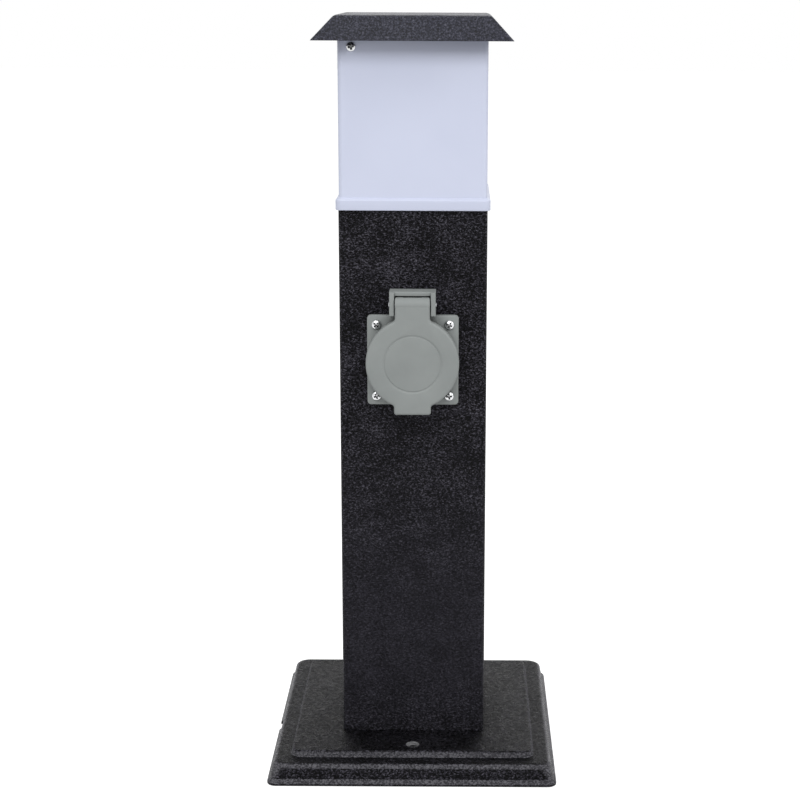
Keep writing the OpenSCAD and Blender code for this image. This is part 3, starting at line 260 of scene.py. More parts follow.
def wrinkle_coat():
    """Black wrinkle powder, its wrinkles, bends, level faces and anchor holes carrying painted light and
    shade.
    """
    material, tree, shader, place = new_finish("black_wrinkle_coat")
    wrinkles = noise(tree, place, 1100, 2.0, 0.55, 0.8, (0.8, 0.8, 1.2))
    patches = noise(tree, place, 55, 3.0)
    uneven = tree.nodes.new("ShaderNodeMath")
    uneven.operation = "MULTIPLY_ADD"
    uneven.inputs[1].default_value = 0.2
    tree.links.new(patches, uneven.inputs[0])
    tree.links.new(wrinkles, uneven.inputs[2])
    coat = uneven.outputs["Value"]
    # Painted shade and glints: the wrinkles' valleys are painted near black and their tops pale, as light
    # would leave them.
    wrinkle_shade_and_glints = ramp(tree, coat, [(0.52, (0.0002, 0.0002, 0.0003)), (0.6, (0.004, 0.0038, 0.0055)),
                              (0.67, (0.031, 0.0296, 0.038)), (0.78, (0.095, 0.0915, 0.112))])
    calm = ramp(tree, coat, [(0.46, (0.008, 0.0076, 0.0102)), (0.6, (0.0185, 0.0176, 0.0237)),
                             (0.74, (0.031, 0.0295, 0.039))])
    # Painted light by height: the shaded valleys and pale glints are strong on the base and high on the tube,
    # weaker at its foot and calm low down.
    glint_height = height(tree, place, [(0.031, 1), (0.033, 0.7), (0.06, 0.5), (0.1, 0.2), (0.19, 0.2),
                                  (0.3, 0.75), (0.4, 1)])
    full = blend_colours(tree, calm, wrinkle_shade_and_glints, glint_height)
    # Painted highlight: the pressing's sloped bends below the panel are painted paler, where the front lamps
    # would catch them.
    bend_highlight = ramp(tree, coat, [(0.53, (0.038, 0.0372, 0.043)), (0.6, (0.077, 0.0753, 0.0858)),
                             (0.67, (0.136, 0.134, 0.149))])
    below_panel = tree.nodes.new("ShaderNodeMapRange")
    below_panel.inputs["From Min"].default_value = (PANEL_Z - 0.3) / 1000
    below_panel.inputs["From Max"].default_value = (PANEL_Z - 1.1) / 1000
    apart = tree.nodes.new("ShaderNodeSeparateXYZ")
    tree.links.new(place, apart.inputs["Vector"])
    tree.links.new(apart.outputs["Z"], below_panel.inputs["Value"])
    bends = blend_colours(tree, slope(tree, [(0.26, 0), (0.38, 1), (0.8, 1), (0.96, 0)]),
                          below_panel.outputs["Result"], 1.0, "MULTIPLY")
    # Painted shade: level faces are painted darker, down to about a third of their tone.
    level = slope(tree, [(0.9, 1), (0.98, 0.34)])
    colour = blend_colours(tree, blend_colours(tree, full, bend_highlight, bends), level, 1.0, "MULTIPLY")
    # Painted light: inside the two anchor holes the coat is painted pale grey, standing in for light on their
    # far walls.
    anchor_hole_light = round_spots(tree, place, 0, ANCHOR_Y / 1000, [(0.362, 1), (0.375, 0)])
    steel = ramp(tree, patches, [(0.3, (0.19, 0.19, 0.2)), (0.7, (0.28, 0.28, 0.29))])
    tree.links.new(blend_colours(tree, colour, steel, anchor_hole_light), shader.inputs["Base Color"])
    ripples = noise(tree, place, 420, 2.0, 0.5, 0.6)
    tree.links.new(spread(tree, ripples, 0.52, 0.14), shader.inputs["Roughness"])
    shader.inputs["Specular IOR Level"].default_value = 0.08
    fine = noise(tree, place, 2400, 1.5, 0.5, 0.4)
    first = bump(tree, shader, wrinkles, 0.0014, 1.0)
    bump(tree, shader, fine, 0.00015, 0.5, first)
    return material


ANCHOR_Y, ANCHOR_R, ANCHOR_WIDER = 58, 3.5, 0.8
COLLAR_R, COLLAR_LOW = 5.1, 10.2
PANEL_Z, LEDGE_Z, SHEET = 15, 11.5, 2
PANEL_UNDER, LEDGE_UNDER = PANEL_Z - SHEET, LEDGE_Z - SHEET
CORD_HOLE_R, FOOT_HOLE_R, FOOT_X, FOOT_Y = 7.5, 2.2, 29.5, 20
NOTCH_Y, NOTCH_R, NOTCH_H, NOTCH_CUT = -4, 5.5, 7.5, (-82, -73)
black_coat = wrinkle_coat()

# The section from the panel over the ledge and skirt, and back below: half width, height, bend, plan corner
pressing = rounded_path([(63, PANEL_Z, 0, 1.5), (66.4, PANEL_Z, 0.8, 4), (67.7, LEDGE_Z, 0.6, 6),
                         (71, LEDGE_Z, 0, 6.2), (76.7, LEDGE_Z, 3.2, 6.6), (78.2, 3.0, 1.6, 3.8),
                         (80, 1.3, 0.3, 5), (80, 0, 0.2, 5), (78, 0, 0.25, 3), (75.9, 2.2, 1.0, 4.2),
                         (74.8, LEDGE_UNDER, 0.4, 4.7), (69, LEDGE_UNDER, 0, 4), (65.5, LEDGE_UNDER, 0.6, 4),
                         (64, PANEL_UNDER, 0.6, 2.5), (62.3, PANEL_UNDER, 0, 1)])
base_plate = skin("base_plate_pressing", [square_ring(half, corner, z) for half, z, corner in pressing])


def moved(ring, x, y):
    """A ring carried sideways to another place."""
    return [(p[0] + x, p[1] + y, p[2]) for p in ring]


def shaft(r, low, high, x=0, y=0, steps=48):
    """A plain round tool from low to high."""
    return skin("tool", [moved(round_ring(r, low, steps), x, y), moved(round_ring(r, high, steps), x, y)])


collars = [shaft(COLLAR_R, COLLAR_LOW, PANEL_Z - 1, 0, side * ANCHOR_Y) for side in (-1, 1)]
carve(base_plate, collars, "UNION")
drawn_r = ANCHOR_R + ANCHOR_WIDER
pierced = [(drawn_r, 5), (drawn_r, PANEL_UNDER - 0.3),
           (ANCHOR_R, PANEL_UNDER - 0.2), (ANCHOR_R, PANEL_Z + 0.1)]
holes = [skin("tool", [moved(round_ring(r, z, 48), 0, y) for r, z in pierced]) for y in (-ANCHOR_Y, ANCHOR_Y)]
cut_from, cut_to = PANEL_UNDER - 3, PANEL_Z + 5
holes.append(shaft(CORD_HOLE_R, cut_from, cut_to, steps=50))
holes += [shaft(FOOT_HOLE_R, cut_from, cut_to, x, y) for x in (-FOOT_X, FOOT_X) for y in (-FOOT_Y, FOOT_Y)]
arch = [(NOTCH_Y - NOTCH_R, -2)]
for k in range(17):
    a = math.pi * (1 - k / 16)
    arch.append((NOTCH_Y + NOTCH_R * math.cos(a), NOTCH_H - NOTCH_R + NOTCH_R * math.sin(a)))
arch.append((NOTCH_Y + NOTCH_R, -2))
holes.append(skin("tool", [[(x, y, z) for y, z in arch] for x in NOTCH_CUT]))
carve(base_plate, holes)
dress(soften(base_plate), black_coat, "black_coat", "post", "base_plate")


# Cord grommet: a moulded rubber bush snapped into the panel's middle hole.
# Its two lips hold the sheet between them and its bore grips the supply cord.
def rubber():
    """Black rubber with a faint grey bloom."""
    material, tree, shader, place = new_finish("black_rubber")
    bloom = noise(tree, place, 160, 3.0)
    tree.links.new(ramp(tree, bloom, [(0.3, (0.012, 0.012, 0.013)), (0.7, (0.026, 0.026, 0.028))]),
                   shader.inputs["Base Color"])
    tree.links.new(spread(tree, bloom, 0.6, 0.8), shader.inputs["Roughness"])
    bump(tree, shader, noise(tree, place, 2600, 2.0), 0.0001, 0.4)
    return material


black_rubber = rubber()
CORD_R, GROMMET_R, GROMMET_LIP = 4, 10, 2
lips = rounded_path([(CORD_R, PANEL_UNDER - GROMMET_LIP, 0), (GROMMET_R, PANEL_UNDER - GROMMET_LIP, 0.8),
                     (GROMMET_R, PANEL_UNDER, 0.4), (CORD_HOLE_R, PANEL_UNDER, 0), (CORD_HOLE_R, PANEL_Z, 0),
                     (GROMMET_R, PANEL_Z, 0.4), (GROMMET_R, PANEL_Z + GROMMET_LIP, 0.8),
                     (CORD_R, PANEL_Z + GROMMET_LIP, 0)], 4)
grommet = skin("cord_grommet", [round_ring(r, z, 48) for r, z in lips], closed=True)
dress(soften(grommet), black_rubber, "rubber", "post", "cable_grommet")


# Post tube: 80 mm square steel tube with a 1.5 mm wall, cut square at both ends.
# A round hole in the front takes the socket, with a tapped hole at each flange corner.
# The wrinkle coat covers it all over.
POST_HALF, POST_WALL, POST_R, POST_EDGE = 40, 1.5, 2, 0.3
POST_TOP = 317
SOCKET_Z, SOCKET_HOLE_R, TAPPED_R = 232.5, 21.7, 1.55

wall = [(POST_HALF - POST_EDGE, PANEL_Z), (POST_HALF, PANEL_Z + POST_EDGE), (POST_HALF, POST_TOP - POST_EDGE),
        (POST_HALF - POST_EDGE, POST_TOP)]
rings = [square_ring(half, POST_R - (POST_HALF - half), z) for half, z in wall]
rings += [square_ring(POST_HALF - POST_WALL, POST_R - POST_WALL, z) for z in (POST_TOP, PANEL_Z)]
post_tube = skin("post_tube_coated", rings, closed=True)


def at_socket(piece):
    """Carries a piece from the socket's own axes (x right, y up, z out of the tube's face) to its place."""
    place = Matrix(((1, 0, 0, 0), (0, 0, -1, -POST_HALF / 1000), (0, 1, 0, SOCKET_Z / 1000), (0, 0, 0, 1)))
    piece.data.transform(place)
    return piece


SCREW_AT = 19.75
corner_places = [(x * SCREW_AT, y * SCREW_AT) for x in (-1, 1) for y in (-1, 1)]
holes = [at_socket(shaft(SOCKET_HOLE_R, -4, 4, steps=64))]
holes += [at_socket(shaft(TAPPED_R, -4, 4, x, y, 24)) for x, y in corner_places]
carve(post_tube, holes)
dress(soften(post_tube), black_coat, "black_coat", "post", "post_tube")


# Foot angles, nuts and screws, the wiring plate and the lamp bracket: zinc-plated steel inside the tube.
# The angles and brackets are bent strip, held to the tube's walls.
# They keep their own solids and take a plated finish with faint brush lines.
def painted_shade(tree, colour, reach, stops):
    """Painted shade: a colour darkened in corners and recesses, as far from a surface as the reach in metres.
    """
    corner = tree.nodes.new("ShaderNodeAmbientOcclusion")
    corner.samples = 8
    corner.inputs["Distance"].default_value = reach
    shade_tone = ramp(tree, corner.outputs["AO"], [(place, (tone, tone, tone)) for place, tone in stops])
    return blend_colours(tree, colour, shade_tone, 1.0, "MULTIPLY")


def plated_steel(name, low, high, rough, reach=0.0012):
    """Plated steel with faint drawn lines, stained a little, with painted shade in its recesses and next to
    other parts.
    """
    material, tree, shader, place = new_finish(name)
    lines = noise(tree, place, 900, 3.0, 0.6, 0.2, (1, 1, 0.06))
    stain = noise(tree, place, 60, 3.0)
    colour = blend_colours(tree, ramp(tree, stain, [(0.3, low), (0.7, high)]),
                           ramp(tree, lines, [(0.3, low), (0.7, high)]), 0.35)
    # Painted shade darkens the recesses and rims, as far from a surface as the reach.
    tree.links.new(painted_shade(tree, colour, reach, [(0.3, 0.03), (0.75, 1)]), shader.inputs["Base Color"])
    shader.inputs["Metallic"].default_value = 1.0
    tree.links.new(spread(tree, lines, rough - 0.06, rough + 0.1), shader.inputs["Roughness"])
    bump(tree, shader, lines, 0.00003, 0.3)
    return material


def paint(material, *names):
    """Gives a finish to solids that keep their own shape."""
    for name in names:
        nodes[name].data.materials.clear()
        nodes[name].data.materials.append(material)


zinc = plated_steel("zinc_plate", (0.36, 0.37, 0.38), (0.5, 0.51, 0.53), 0.38)
bright_steel = plated_steel("bright_steel", (0.55, 0.56, 0.57), (0.74, 0.75, 0.76), 0.22)
paint(zinc, "foot_angles", "wiring_plate", "lamp_bracket", "cap_brackets")
paint(bright_steel, "foot_nuts", "base_screws", "terminal_screws", "block_screws", "earth_screw",
      "earth_lugs", "contact_screws", "carrier_screw", "holder_nipple", "nipple_nut", "shade_screws",
      "bulb_base")


# Terminal block, contact carrier and lamp holder: pale mouldings that carry the live parts.
# The block screws to the wiring plate and the carrier to the back of the socket's well.
# They keep their own solids.
def pale_moulding():
    """Pale heat-proof moulding, slightly cloudy."""
    material, tree, shader, place = new_finish("pale_moulding")
    cloud = noise(tree, place, 90, 3.0)
    tree.links.new(ramp(tree, cloud, [(0.3, (0.66, 0.64, 0.59)), (0.7, (0.76, 0.74, 0.69))]),
                   shader.inputs["Base Color"])
    tree.links.new(spread(tree, cloud, 0.38, 0.5), shader.inputs["Roughness"])
    bump(tree, shader, noise(tree, place, 1800, 2.0), 0.00005, 0.3)
    return material


paint(pale_moulding(), "terminal_block", "contact_carrier", "lamp_holder")


# Brass inserts, pin sleeves, the earth strap and the lamp's contacts: turned or stamped brass.
# The sleeves are slit so that they grip the plug's pins.
# They keep their own solids.
def brass_finish():
    """Brass with a light tarnish."""
    material, tree, shader, place = new_finish("brass")
    tarnish = noise(tree, place, 130, 4.0)
    tree.links.new(ramp(tree, tarnish, [(0.3, (0.5, 0.33, 0.1)), (0.7, (0.68, 0.49, 0.19))]),
                   shader.inputs["Base Color"])
    shader.inputs["Metallic"].default_value = 1.0
    tree.links.new(spread(tree, tarnish, 0.25, 0.42), shader.inputs["Roughness"])
    bump(tree, shader, noise(tree, place, 1500, 2.0), 0.00003, 0.3)
    return material


paint(brass_finish(), "terminal_inserts", "live_contact", "neutral_contact", "earth_clip", "thread_shell",
      "centre_contact")


# Socket gasket: a 1 mm rubber sheet between the flange and the tube's face.
# It is punched to the flange's outline, with the same round hole and screw holes.
GASKET_HALF, GASKET_T, SCREW_HOLE_R = 24.5, 1, 1.7
gasket = skin("socket_gasket_sheet", [square_ring(GASKET_HALF, 2, z) for z in (0, GASKET_T)])
holes = [shaft(SOCKET_HOLE_R, -1, 2, steps=64)]
holes += [shaft(SCREW_HOLE_R, -1, 2, x, y, 24) for x, y in corner_places]
carve(gasket, holes)
dress(at_socket(soften(gasket)), black_rubber, "rubber", "post", "socket_gasket")


# Socket frame: one grey moulding with a square flange, a sealing collar and the hinge's frame.
# The flange carries a screw in each corner; the hinge's two arms and bar stand over the top edge.
# All outer edges are broken by a small radius.
def socket_plastic():
    """Grey moulded plastic with a fine spark texture, with painted shade in its joints and the gaps round the
    hinge.
    """
    material, tree, shader, place = new_finish("grey_moulding")
    cloud = noise(tree, place, 45, 3.0)
    spark = noise(tree, place, 1700, 2.5, 0.6)
    colour = ramp(tree, cloud, [(0.3, (0.252, 0.27, 0.266)), (0.7, (0.285, 0.304, 0.299))])
    # Painted shade: the colour is darkened up to 8 mm into joints, notches and gaps.
    tree.links.new(painted_shade(tree, colour, 0.008, [(0.22, 0.04), (0.52, 1)]), shader.inputs["Base Color"])
    tree.links.new(spread(tree, spark, 0.42, 0.56), shader.inputs["Roughness"])
    shader.inputs["Specular IOR Level"].default_value = 0.15
    bump(tree, shader, spark, 0.00008, 0.35)
    return material


grey_plastic = socket_plastic()


def slab(name, outline, back, front, edge, steps=4):
    """A flat moulding with a rounded front edge, from an outline in the socket's own axes."""
    n = len(outline)
    ways = []
    for i in range(n):
        here = Vector(outline[i])
        a = (here - Vector(outline[i - 1])).normalized()
        b = (Vector(outline[(i + 1) % n]) - here).normalized()
        inward = Vector((-a.y - b.y, a.x + b.x))
        ways.append(inward / max(0.5, inward.dot(Vector((-a.y, a.x)))))
    rings = [[(p[0], p[1], back) for p in outline]]
    for k in range(steps + 1):
        a = math.pi / 2 * k / steps
        inset, z = edge * (1 - math.cos(a)), front - edge * (1 - math.sin(a))
        rings.append([(p[0] + w.x * inset, p[1] + w.y * inset, z) for p, w in zip(outline, ways)])
    return skin(name, rings)


def box_outline(x0, y0, x1, y1):
    """The corners of a rectangle, turning left."""
    return [(x0, y0), (x1, y0), (x1, y1), (x0, y1)]


FLANGE_HALF, FLANGE_BACK, FLANGE_FRONT = 24.75, 1, 4
ARM_IN, ARM_OUT, ARM_LOW, ARM_FRONT = 9.75, 12.4, 25.95, 13.5
BAR_LOW, BAR_FRONT, FRAME_TOP = 36.3, 10.9, 38.8
HINGE_Y, HINGE_Z, HINGE_BORE_R, PLATE_LOW = 32, 11.1, 1.3, 23.8
WELL_R, WELL_OUT, LIP_R, LIP_T = 19.75, 21.5, 22.8, 1.2
COLLAR_OUT, COLLAR_FRONT, FLOOR_Z = 23.5, 9, -8.5
LIP_FRONT = FLANGE_BACK + LIP_T

flange = [(p[0], p[1]) for p in square_ring(FLANGE_HALF, 2, 0)]
socket_frame = slab("socket_frame_moulding", flange, FLANGE_BACK, FLANGE_FRONT, 0.6)
hinge_arms = [slab("tool", box_outline(x0, ARM_LOW, x1, FRAME_TOP - 0.001), 1.1, ARM_FRONT, 0.5)
              for x0, x1 in ((-ARM_OUT, -ARM_IN), (ARM_IN, ARM_OUT))]
hinge_bar = slab("tool", box_outline(0.2 - ARM_OUT, BAR_LOW, ARM_OUT - 0.2, FRAME_TOP),
                 FLANGE_BACK, BAR_FRONT, 0.5)
hinge_plate = slab("tool", box_outline(0.02 - ARM_OUT, PLATE_LOW, ARM_OUT - 0.02, FRAME_TOP - 0.5),
                   1.2, FLANGE_FRONT - 0.1, 0.3)
collar_side = rounded_path([(COLLAR_OUT, 1.5, 0), (COLLAR_OUT, COLLAR_FRONT, 0.6), (10, COLLAR_FRONT, 0)])
collar = skin("tool", [round_ring(r, z, 96) for r, z in collar_side])
carve(socket_frame, [hinge_plate, *hinge_arms, hinge_bar, collar], "UNION")


def crossways(piece, y, z):
    """Turns a tool or pin from the z axis to the x axis, at the hinge."""
    piece.data.transform(Matrix.Translation((0, y / 1000, z / 1000)) @ Matrix.Rotation(math.pi / 2, 4, "Y"))
    return piece


bore_side = [(LIP_R + 0.2, FLANGE_BACK - 0.5), (LIP_R + 0.2, LIP_FRONT), (WELL_R, LIP_FRONT),
             (WELL_R, COLLAR_FRONT - 0.5), (WELL_R + 0.15, COLLAR_FRONT - 0.15),
             (WELL_R + 0.6, COLLAR_FRONT + 0.1)]
holes = [skin("tool", [round_ring(r, z, 96) for r, z in bore_side])]
holes += [shaft(SCREW_HOLE_R, 0, 6, x, y, 24) for x, y in corner_places]
holes.append(crossways(shaft(HINGE_BORE_R, -14, 14, steps=32), HINGE_Y, HINGE_Z))
carve(socket_frame, holes)
dress(at_socket(soften(socket_frame)), grey_plastic, "grey_plastic", "post", "socket_frame")


# Plug well: a grey cup behind the flange, with its lip held between the flange and the gasket.
# Two ribs guide the plug, and the floor has two pin holes, slots for the earth spring and a screw hole.
FLOOR_BACK, FLOOR_R = FLOOR_Z - 2.5, 16
RIB_IN, RIB_OUT, RIB_HALF, RIB_LONG = 17.65, 20.3, 2.5, 10.5
PIN_X, PIN_HOLE_R = 9.5, 2.75
EARTH_Y, EARTH_HALF, EARTH_SLOT = 18.8, 2.4, 0.65
well_side = rounded_path([(WELL_R, FLOOR_Z - 0.2, 0), (WELL_R, LIP_FRONT, 0.2), (LIP_R, LIP_FRONT, 0.2),
                          (LIP_R, FLANGE_BACK, 0.2), (WELL_OUT, FLANGE_BACK, 0.2),
                          (WELL_OUT, FLOOR_BACK, 0.5), (FLOOR_R, FLOOR_BACK, 0)], 3)
well_side = [(FLOOR_R, FLOOR_Z)] + well_side[:1] + well_side
plug_well = skin("plug_well_cup", [round_ring(r, z, 96) for r, z in well_side])
ribs = [slab("tool", box_outline(x0, -RIB_HALF, x1, RIB_HALF), FLOOR_Z - 0.5, FLOOR_Z + RIB_LONG, 0.6)
        for x0, x1 in ((-RIB_OUT, -RIB_IN), (RIB_IN, RIB_OUT))]
carve(plug_well, ribs, "UNION")
holes = [shaft(PIN_HOLE_R, -13, -7, x, 0) for x in (-PIN_X, PIN_X)]
holes.append(shaft(SCREW_HOLE_R, -13, -7, steps=24))
holes += [slab("tool", box_outline(-EARTH_HALF, y - EARTH_SLOT, EARTH_HALF, y + EARTH_SLOT), -13, -7, 0.01)
          for y in (-EARTH_Y, EARTH_Y)]
carve(plug_well, holes)
dress(at_socket(soften(plug_well)), grey_plastic, "grey_plastic", "post", "plug_well")


# Cross-head screws: plated steel with a domed pan head and a tapered cross recess.
# Each set is turned down to a different stop, so the crosses lie at different angles.
def screw_mesh(head_r, head_h, shank_r, length, slot_w=0.2):
    """A screw with its seat at z = 0, its head along +z and its shank along -z."""
    side = rounded_path([(0.05, -length, 0), (shank_r - 0.3, -length, 0), (shank_r, -length + 0.6, 0),
                         (shank_r, 0, 0), (head_r, 0, 0.15), (head_r, head_h * 0.6, head_h * 0.35),
                         (head_r * 0.45, head_h, head_h * 0.4), (0.05, head_h, 0)], 4)
    screw = skin("screw", [round_ring(r, z, 40) for r, z in side])
    slots = []
    for turn in (0, 90):
        w, a = slot_w * head_r, 0.72 * head_r
        rings = [[(x * k, y * k, z) for x, y in ((-a, -w), (a, -w), (a, w), (-a, w))]
                 for k, z in ((0.5, head_h * 0.1), (1.0, head_h * 1.1))]
        slot = skin("tool", rings)
        slot.data.transform(Matrix.Rotation(math.radians(turn), 4, "Z"))
        slots.append(slot)
    carve(screw, slots)
    soften(screw, 40)
    mesh = screw.data
    bpy.data.objects.remove(screw)
    return mesh


def screw_set(name, mesh, places):
    """One piece from copies of a screw, each at its own place."""
    work = bmesh.new()
    for place in places:
        copy = mesh.copy()
        copy.transform(place)
        work.from_mesh(copy)
        bpy.data.meshes.remove(copy)
    whole = bpy.data.meshes.new(name)
    work.to_mesh(whole)
    work.free()
    piece = bpy.data.objects.new(name, whole)
    scene.collection.objects.link(piece)
    return piece


HEAD_R, HEAD_H, SHANK_R, FLANGE_SCREW = 2.5, 1.9, 1.5, 11
places = []
for (x, y), turn in zip(corner_places, (20, 50, 5, 65)):
    seat = Matrix.Translation((x / 1000, y / 1000, FLANGE_FRONT / 1000))
    places.append(seat @ Matrix.Rotation(math.radians(turn), 4, "Z"))
flange_screws = screw_set("flange_screws_set", screw_mesh(HEAD_R, HEAD_H, SHANK_R, FLANGE_SCREW), places)
dress(at_socket(flange_screws), bright_steel, "bright_steel", "post", "flange_screws")


# Hinge pin: a 2.5 mm steel rod pressed into the two arms, its ends just proud of them.
# The lid's knuckle turns on it and the closing spring is wound round its middle.
PIN_R, PIN_HALF = 1.25, 12.9
pin_side = rounded_path([(0.05, -PIN_HALF, 0), (PIN_R, -PIN_HALF, 0.35), (PIN_R, PIN_HALF, 0.35),
                         (0.05, PIN_HALF, 0)], 4)
hinge_pin = crossways(skin("hinge_pin_rod", [round_ring(r, z, 32) for r, z in pin_side]), HINGE_Y, HINGE_Z)
dress(at_socket(soften(hinge_pin)), zinc, "bright_steel", "post", "hinge_pin")


# Closing spring: bright wire wound round the pin, with one leg down to the hinge's plate.
# It sits in the knuckle's pocket and keeps the lid shut.
def wire_piece(name, routes, thickness):
    """Round wire along one or more lines of points in millimetres, as a mesh."""
    line = bpy.data.curves.new(name, "CURVE")
    line.dimensions = "3D"
    line.bevel_depth = thickness / 2000
    line.bevel_resolution = 4
    line.use_fill_caps = True
    for route in routes:
        spline = line.splines.new("POLY")
        spline.points.add(len(route) - 1)
        for point, p in zip(spline.points, route):
            point.co = (*[c / 1000 for c in p], 1)
    bend = bpy.data.objects.new(name, line)
    scene.collection.objects.link(bend)
    bpy.context.view_layer.update()
    mesh = bpy.data.meshes.new_from_object(bend.evaluated_get(bpy.context.evaluated_depsgraph_get()))
    bpy.data.objects.remove(bend)
    piece = bpy.data.objects.new(name, mesh)
    scene.collection.objects.link(piece)
    return piece


SPRING_R, SPRING_PITCH, SPRING_TURNS, SPRING_WIRE, SPRING_LEG = 2.0, 1.5, 5.5, 0.7, 6.0
coil = []
for k in range(int(SPRING_TURNS * 24) + 1):
    a = math.pi / 2 - math.tau * k / 24
    x = SPRING_PITCH * (k / 24 - SPRING_TURNS / 2)
    coil.append((x, SPRING_R * math.cos(a), SPRING_R * math.sin(a)))
foot_z = FLANGE_FRONT + SPRING_WIRE / 2 + 0.01 - HINGE_Z
for t in (0.25, 0.5, 0.75, 1.0):
    coil.append((coil[-1][0], -SPRING_LEG * t, -SPRING_R + (foot_z + SPRING_R) * t))
spring = wire_piece("closing_spring", [[(x, y + HINGE_Y, z + HINGE_Z) for x, y, z in coil]], SPRING_WIRE)
dress(at_socket(soften(spring, 60)), bright_steel, "bright_steel", "post", "hinge_spring")


# Socket lid: a round grey moulding with a hinge tongue above, a finger tab below and a sunk round field.
# A rim behind it closes over the sealing collar, and a knuckle with a spring pocket turns on the pin.
LID_R, LID_FRONT, LID_BACK, LID_INSIDE, LID_EDGE = 25.1, 15, 9.5, 12, 1.4
TONGUE, TONGUE_SWEEP = 9.35, 2.6
TAB, TAB_SWEEP, TAB_LOW, TAB_R = 9.95, 1.8, 28.1, 1.5
FIELD_R, FIELD_DEEP, GROOVE_DEEP = 15.3, 0.2, 0.5
RIM_IN, RIM_OUT = 23.2, 25.08
KNUCKLE_R, POCKET, POCKET_R, SPRING_RELIEF = 3.9, 5.2, 2.8, 0.45


def side_curve(x, sweep):
    """The fillet from an upright side at x to the lid's round edge, in the upper right."""
    cx, r = x + sweep, LID_R + sweep
    cy = math.sqrt(r * r - cx * cx)
    low = math.atan2(-cy, -cx) + math.tau
    return [(cx + sweep * math.cos(a), cy + sweep * math.sin(a))
            for a in [math.pi + (low - math.pi) * k / 6 for k in range(7)]]


tongue_side = side_curve(TONGUE, TONGUE_SWEEP)
tab_side = side_curve(TAB, TAB_SWEEP)
start = math.atan2(tongue_side[-1][1], tongue_side[-1][0])
end = math.atan2(-tab_side[-1][1], tab_side[-1][0])
right = [(TONGUE, HINGE_Y)] + tongue_side
for k in range(1, 40):
    a = start + (end - start) * k / 40
    right.append((LID_R * math.cos(a), LID_R * math.sin(a)))
right += [(x, -y) for x, y in reversed(tab_side)]
for k in range(7):
    a = -math.pi / 2 * k / 6
    right.append((TAB - TAB_R + TAB_R * math.cos(a), -TAB_LOW + TAB_R + TAB_R * math.sin(a)))
outline = [(-x, y) for x, y in right] + [(x, y) for x, y in reversed(right)]
socket_lid = slab("socket_lid_moulding", outline, LID_INSIDE - 0.2, LID_FRONT, LID_EDGE, 6)
rim_side = [(RIM_IN, LID_INSIDE + 0.6), (RIM_IN, LID_BACK + 0.3), (RIM_IN + 0.2, LID_BACK),
            (RIM_OUT - 0.18, LID_BACK), (RIM_OUT, LID_BACK + 0.2), (RIM_OUT, LID_INSIDE + 0.6)]
rim = skin("tool", [round_ring(r, z, 128) for r, z in rim_side], closed=True)
knuckle_side = rounded_path([(HINGE_BORE_R + 0.7, -TONGUE, 0), (KNUCKLE_R, -TONGUE, 0.5),
                             (KNUCKLE_R, TONGUE, 0.5), (HINGE_BORE_R + 0.7, TONGUE, 0)], 4)
knuckle = crossways(skin("tool", [round_ring(r, z, 64) for r, z in knuckle_side]), HINGE_Y, HINGE_Z)
carve(socket_lid, [rim, knuckle], "UNION")
field_z, groove_z = LID_FRONT - FIELD_DEEP, LID_FRONT - GROOVE_DEEP
field_side = rounded_path([(0.05, field_z, 0), (FIELD_R - 0.6, field_z, 0.3), (FIELD_R - 0.2, groove_z, 0.2),
                           (FIELD_R + 0.1, groove_z, 0.15), (FIELD_R + 0.9, LID_FRONT - 0.06, 0.5),
                           (FIELD_R + 1.5, LID_FRONT + 0.08, 0)], 4)
field = skin("tool", [round_ring(r, z, 96) for r, z in field_side])
past = TONGUE + 1.65
bored = [(HINGE_BORE_R, -past), (HINGE_BORE_R, -POCKET), (POCKET_R, -POCKET),
         (POCKET_R, POCKET), (HINGE_BORE_R, POCKET), (HINGE_BORE_R, past)]
bore = crossways(skin("tool", [round_ring(r, z, 32) for r, z in bored]), HINGE_Y, HINGE_Z)
reach = KNUCKLE_R + 0.1
opening = slab("tool", box_outline(0.05 - POCKET, HINGE_Y - reach, POCKET - 0.05, HINGE_Y + reach),
               HINGE_Z - reach, HINGE_Z + SPRING_RELIEF, 0.01)
carve(socket_lid, [field, bore, opening])
dress(at_socket(soften(socket_lid, 30)), grey_plastic, "grey_plastic", "lid", "socket_lid")


# Lid gasket: a soft rubber ring moulded to fit inside the lid's rim.
# It meets the socket's collar when the lid shuts and keeps the rain out.
SEAL_IN, SEAL_OUT, SEAL_BACK = 20.2, 23.0, 9.3
seal_side = rounded_path([(SEAL_IN, LID_INSIDE, 0), (SEAL_IN, SEAL_BACK, 0.5), (SEAL_OUT, SEAL_BACK, 0.5),
                          (SEAL_OUT, LID_INSIDE, 0)], 4)
lid_seal = skin("lid_seal_ring", [round_ring(r, z, 96) for r, z in seal_side], closed=True)
dress(at_socket(soften(lid_seal)), black_rubber, "rubber", "lid", "lid_gasket")


# Wires: single copper conductors in coloured insulation, from the block to the socket and on to the lamp.
# Each bends in one easy curve up the tube and ends straight in its terminal.
def insulation(name, low, high):
    """Coloured wire insulation, slightly uneven in tone."""
    material, tree, shader, place = new_finish(name)
    tone = noise(tree, place, 140, 2.0)
    tree.links.new(ramp(tree, tone, [(0.3, low), (0.7, high)]), shader.inputs["Base Color"])
    tree.links.new(spread(tree, tone, 0.35, 0.5), shader.inputs["Roughness"])
    bump(tree, shader, noise(tree, place, 1200, 2.0), 0.00005, 0.3)
    return material


def easy_curve(points, steps=8):
    """A smooth line through points."""
    line = []
    for i in range(len(points) - 1):
        a, b, c, d = (Vector(points[min(max(j, 0), len(points) - 1)]) for j in range(i - 1, i + 3))
        for k in range(steps):
            t = k / steps
            line.append(0.5 * (2 * b + (c - a) * t + (2 * a - 5 * b + 4 * c - d) * t * t
                               + (3 * b - a - 3 * c + d) * t ** 3))
    return [tuple(p) for p in line] + [tuple(points[-1])]


